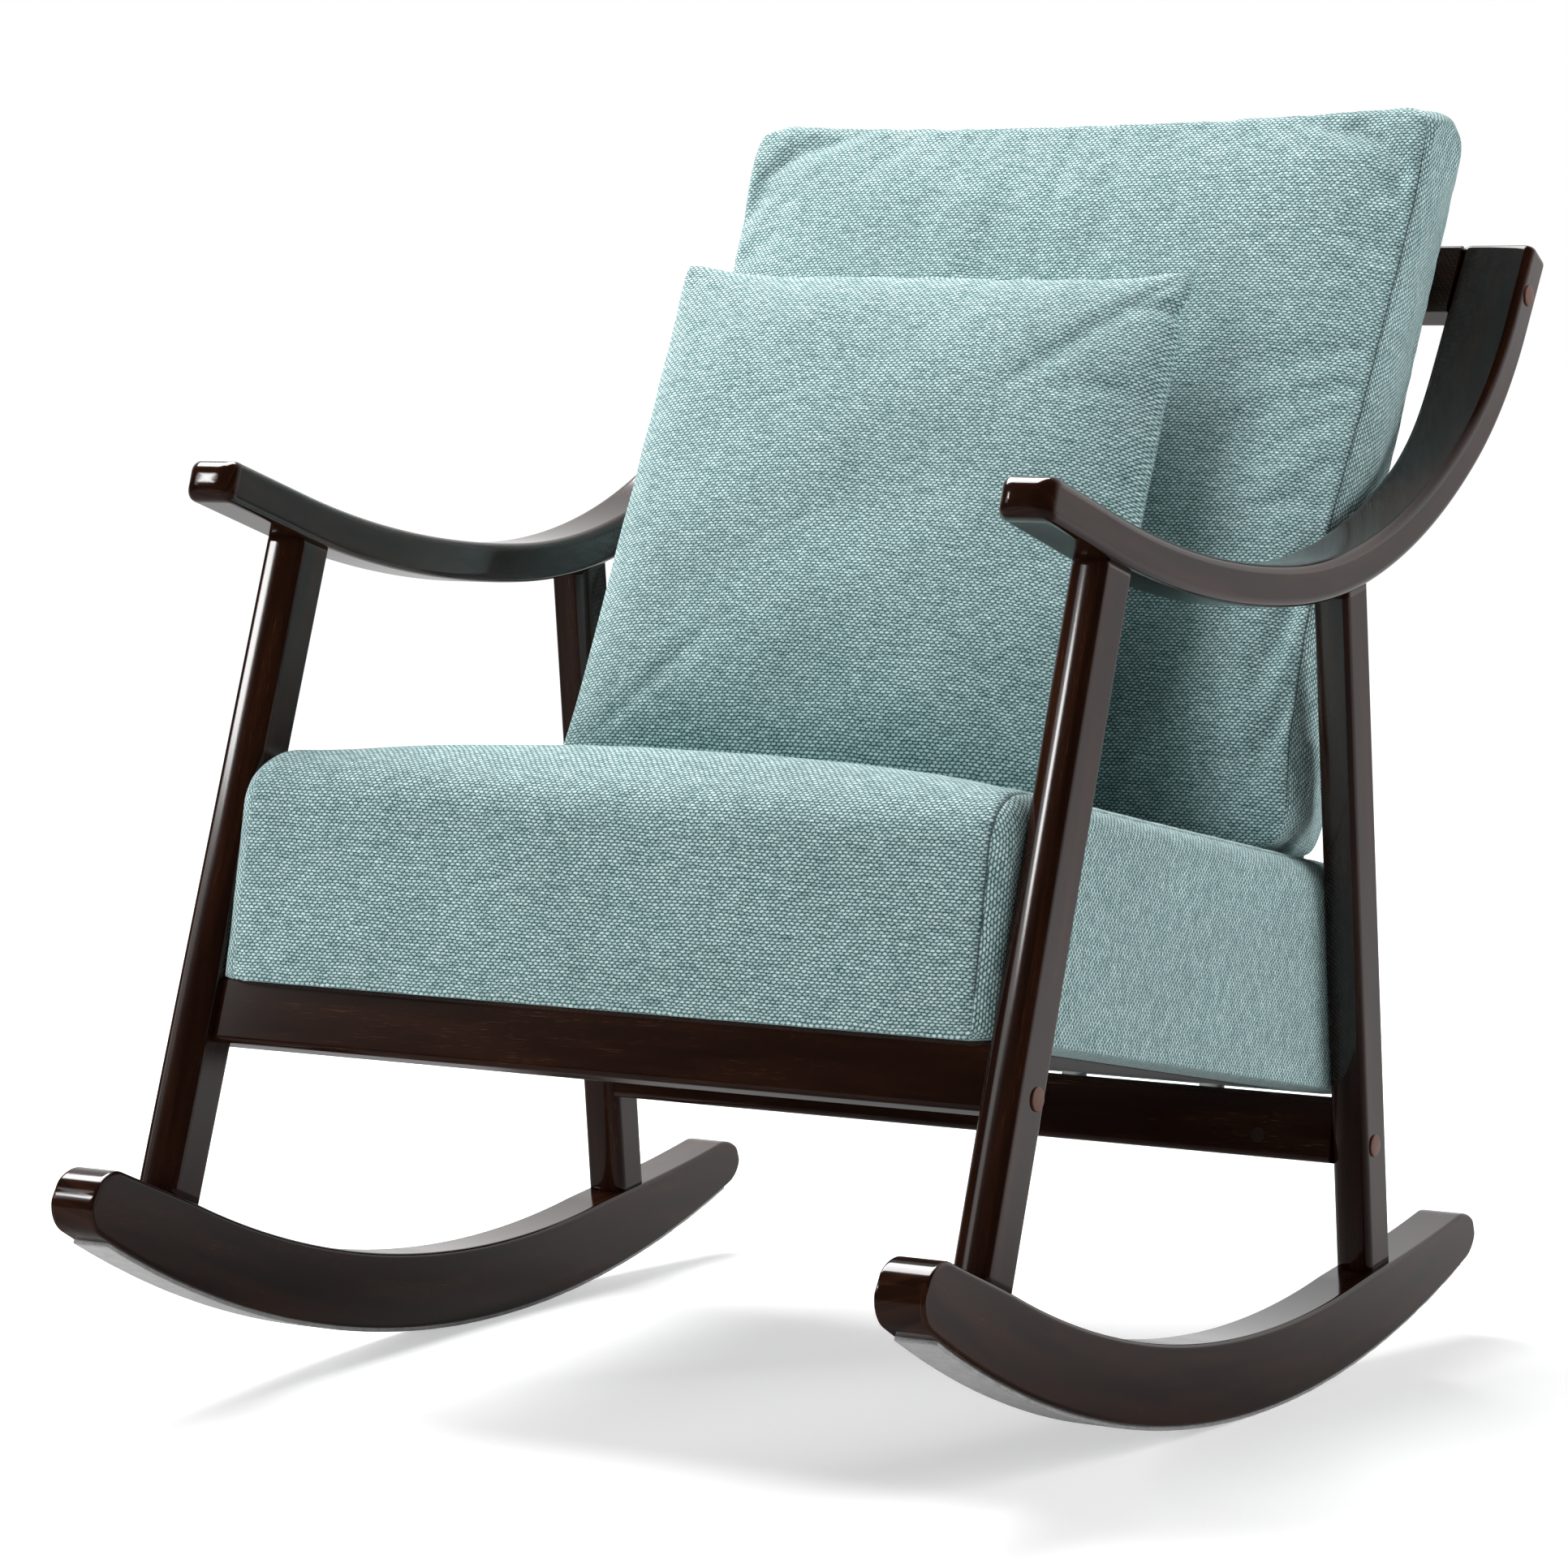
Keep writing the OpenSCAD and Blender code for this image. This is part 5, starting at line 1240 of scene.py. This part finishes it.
class CHAIR_OT_back(ChairPieceOperator, bpy.types.Operator):
    """Make the loose back cushion."""
    bl_idname = "chair.back_cushion"
    bl_label = "Back cushion"

    def execute(self, context):
        made = back_cushion()
        finish(made, upholstery(), "seafoam_fabric", "back_cushion", "back_cushion_cover")
        return {"FINISHED"}


class CHAIR_OT_pillow(ChairPieceOperator, bpy.types.Operator):
    """Make the small loose pillow."""
    bl_idname = "chair.pillow"
    bl_label = "Pillow"

    def execute(self, context):
        behind = bpy.data.objects.get("back_cushion_body")
        if behind is None:
            raise RuntimeError("the pillow leans on the back cushion, which is made first")
        made = pillow(behind)
        finish(made, upholstery(), "seafoam_fabric", "pillow", "pillow_cover")
        return {"FINISHED"}


class CHAIR_OT_inside(ChairPieceOperator, bpy.types.Operator):
    """Finish the parts inside the frame, the seat and the cushions."""
    bl_idname = "chair.inside"
    bl_label = "Hidden parts"

    def execute(self, context):
        steel = plain_stuff("zinc plated steel", (0.5, 0.51, 0.53), (0.38, 0.39, 0.41), 700, 0.32, 0.00003,
                            1.0)
        beech = plain_stuff("bare beech", (0.6, 0.42, 0.25), (0.5, 0.33, 0.18), 220, 0.7, 0.0001,
                            stretch=(0.1, 1, 1))
        brown = plain_stuff("brown plug plastic", (0.024, 0.01, 0.0065), (0.018, 0.0075, 0.005), 500, 0.4,
                            0.00005)
        nylon = plain_stuff("pale nylon", (0.78, 0.78, 0.76), (0.7, 0.7, 0.68), 300, 0.4, 0.00005)
        foam = plain_stuff("cream foam", (0.82, 0.76, 0.56), (0.72, 0.65, 0.45), 900, 0.95, 0.0006)
        webbing = ribbed("black webbing", (0.03, 0.03, 0.03), (0.05, 0.05, 0.05), 1, 0.003, 0.9)
        ticking = ribbed("cream ticking", (0.85, 0.82, 0.75), (0.75, 0.72, 0.64), 0, 0.0012, 0.95, 0.0002)
        tape = ribbed("zip tape", (0.3, 0.42, 0.4), (0.16, 0.25, 0.24), 0, 0.002, 0.8, 0.0005)
        back_axes = np.stack([[1.0, 0, 0], BACK_UP, BACK_OUT], 1)
        bag_inside("back_cushion_body", "back_cushion_bag", back_axes, (0.96, 0.96, 0.84), ticking,
                   "back_cushion", "back_cushion_inner_bag")
        bag_inside("pillow_body", "pillow_bag", pillow_axes(), (0.9, 0.9, 0.84), ticking,
                   "pillow", "pillow_inner_bag")
        kinds = {"frame_bolts": steel, "barrel_nuts": steel, "slat_screws": steel, "seat_screws": steel,
                 "rail_dowels": beech, "leg_dowels": beech, "seat_base_frame": beech,
                 "barrel_nut_plugs": brown,
                 "seat_spacers": nylon, "seat_foam": foam, "seat_webbing": webbing,
                 "back_cushion_zip": tape, "pillow_zip": tape}
        for node, material in kinds.items():
            dress(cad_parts[node], material)
        return {"FINISHED"}


def area_light(name, place, aim, size, power):
    """A soft lamp at a place that looks at a point."""
    lamp = bpy.data.lights.new(name, "AREA")
    lamp.shape = "RECTANGLE"
    lamp.size, lamp.size_y = size
    lamp.energy = power
    obj = bpy.data.objects.new(name, lamp)
    bpy.context.scene.collection.objects.link(obj)
    d = np.array(aim, float) - np.array(place, float)
    obj.location = place
    obj.rotation_euler = (math.acos(-d[2] / np.linalg.norm(d)), 0, math.atan2(d[0], -d[1]) + math.pi)
    return obj


def floor_material():
    """Pale floor that camera and glass rays see lifted towards white further off, and that still takes a
    shadow. Mirror rays see it dark in front of the chair and brighter behind."""
    r = Recipe("pale studio floor")
    path = r.add("ShaderNodeLightPath").outputs
    x, y, _ = r.parts(r.object_place())
    seen = r.sum("MAXIMUM", path["Is Camera Ray"], path["Is Transmission Ray"])
    away = r.sum("SQRT", r.sum("ADD", r.sum("POWER", x, 2.0), r.sum("POWER", y, 2.0)))
    lift = r.sum("MULTIPLY", seen, r.between(away, 0.9, 4.5, 0.46, 1.0))
    behind = r.sum("MULTIPLY", path["Is Glossy Ray"], r.between(y, -0.4, 1.0, 0.0, 0.6))
    glow = r.add("ShaderNodeEmission")
    r.wire(r.sum("ADD", lift, behind), glow.inputs["Strength"])
    speck = r.noise(r.object_place(), 40.0, 2).outputs[0]
    pale = r.blend(speck, (0.74, 0.74, 0.74, 1), (0.76, 0.76, 0.76, 1))
    pale = r.blend(path["Is Glossy Ray"], pale, (0.12, 0.12, 0.12, 1))
    r.set(Base_Color=pale, Roughness=0.9, Specular_IOR_Level=0.0)
    both = r.add("ShaderNodeAddShader")
    r.wire(r.skin.outputs[0], both.inputs[0])
    r.wire(glow.outputs[0], both.inputs[1])
    r.wire(both.outputs[0], r.out.inputs[0])
    return r.material


def studio_world(strength):
    """White to the camera and to glass, in mirrors rising from dark in front of the chair to white behind
    it, and an even grey for diffuse light."""
    world = bpy.data.worlds.new("studio")
    bpy.context.scene.world = world
    world.use_nodes = True
    tree = world.node_tree
    tree.nodes.clear()
    add, link = tree.nodes.new, tree.links.new
    path = add("ShaderNodeLightPath").outputs
    xyz, mirror = add("ShaderNodeSeparateXYZ"), add("ShaderNodeMapRange")
    link(add("ShaderNodeTexCoord").outputs["Generated"], xyz.inputs[0])
    link(xyz.outputs[1], mirror.inputs[0])
    for socket, value in zip(mirror.inputs[1:5], (0.1, 0.75, 0.015, 1.0)):
        socket.default_value = value
    seen = add("ShaderNodeMath")
    seen.operation = "MAXIMUM"
    link(path["Is Camera Ray"], seen.inputs[0])
    link(path["Is Transmission Ray"], seen.inputs[1])
    level, final = add("ShaderNodeMix"), add("ShaderNodeMix")
    level.inputs[2].default_value = strength
    final.inputs[3].default_value = 1.0
    link(path["Is Glossy Ray"], level.inputs[0])
    link(mirror.outputs[0], level.inputs[3])
    link(seen.outputs[0], final.inputs[0])
    link(level.outputs[0], final.inputs[2])
    back, out = add("ShaderNodeBackground"), add("ShaderNodeOutputWorld")
    back.inputs["Color"].default_value = (1, 1, 1, 1)
    link(final.outputs[0], back.inputs["Strength"])
    link(back.outputs[0], out.inputs[0])


def photo_camera():
    """Camera with the photograph's place, direction and field of view."""
    lens = bpy.data.cameras.new("photo camera")
    lens.sensor_width = SENSOR
    lens.lens = FOCAL_PX / PHOTO_SIDE_PX * SENSOR
    lens.clip_end = 500
    eye = bpy.data.objects.new("photo camera", lens)
    eye.location = EYE_PLACE
    eye.rotation_euler = (math.radians(90 + EYE_PITCH), 0, math.radians(EYE_YAW))
    bpy.context.scene.collection.objects.link(eye)
    bpy.context.scene.camera = eye


def studio_floor():
    """Level floor of 120 m by 120 m under the felt."""
    t = np.linspace(-1, 1, 9)
    x, y = np.meshgrid(t, t, indexing="ij")
    sheet = lattice(np.stack([x * FLOOR_HALF, y * FLOOR_HALF, 0 * x - 0.05], -1))
    floor = new_mesh("studio_floor", sheet, "floor", False)
    floor.data.flip_normals()
    dress(floor, floor_material())
    return floor


class CHAIR_OT_stage(ChairPieceOperator, bpy.types.Operator):
    """Set up the floor, the studio light and the camera."""
    bl_idname = "chair.stage"
    bl_label = "Floor, light and camera"

    def execute(self, context):
        own = context.scene.chair_stage
        studio_floor()
        aim = (0, 0, 0.45)
        area_light("top light", (-1.3, 0.45, 2.8), aim, (2.0, 2.0), own.top)
        area_light("left light", (-2.06, -1.87, 1.5), aim, (0.6, 1.0), own.left)
        area_light("front box", (-2.22, -2.36, 1.97), aim, (0.36, 0.4), own.box)
        area_light("front fill", (-1.3, -2.8, 0.8), aim, (1.6, 1.2), own.fill).visible_glossy = False
        area_light("right light", (3.1, 0.9, 1.5), aim, (2.0, 2.0), own.right).visible_glossy = False
        studio_world(own.ambient)
        photo_camera()
        context.scene.view_settings.view_transform = "Standard"
        return {"FINISHED"}


class CHAIR_PT_sidebar(bpy.types.Panel):
    """Lists the chair's pieces in the sidebar."""
    bl_idname = "CHAIR_PT_sidebar"
    bl_label = "Rocking chair"
    bl_space_type = "VIEW_3D"
    bl_region_type = "UI"
    bl_category = "Rocking chair"

    def draw(self, context):
        column = self.layout.column()
        for kind in OPERATORS:
            column.operator(kind.bl_idname)
        for group in (context.scene.chair_wood, context.scene.chair_fabric, context.scene.chair_stage):
            box = column.box()
            for name in group.__annotations__:
                box.prop(group, name)


SETTINGS = (("chair_wood", ChairWood), ("chair_fabric", ChairFabric), ("chair_stage", ChairStage))
OPERATORS = (CHAIR_OT_frame, CHAIR_OT_rails, CHAIR_OT_trim, CHAIR_OT_seat, CHAIR_OT_back, CHAIR_OT_pillow,
             CHAIR_OT_inside, CHAIR_OT_stage)


def register():
    """Registers the settings, the operators and the panel."""
    for name, kind in SETTINGS:
        bpy.utils.register_class(kind)
        setattr(bpy.types.Scene, name, PointerProperty(type=kind))
    for kind in OPERATORS + (CHAIR_PT_sidebar,):
        bpy.utils.register_class(kind)


def unregister():
    """Takes them out again."""
    for kind in reversed(OPERATORS + (CHAIR_PT_sidebar,)):
        bpy.utils.unregister_class(kind)
    for name, kind in reversed(SETTINGS):
        delattr(bpy.types.Scene, name)
        bpy.utils.unregister_class(kind)


def main():
    """Makes the chair and its stage in order."""
    register()
    bpy.ops.chair.frame()
    bpy.ops.chair.rails()
    bpy.ops.chair.trim()
    bpy.ops.chair.seat()
    bpy.ops.chair.back_cushion()
    bpy.ops.chair.pillow()
    bpy.ops.chair.inside()
    bpy.ops.chair.stage()


if __name__ == "__main__":
    main()
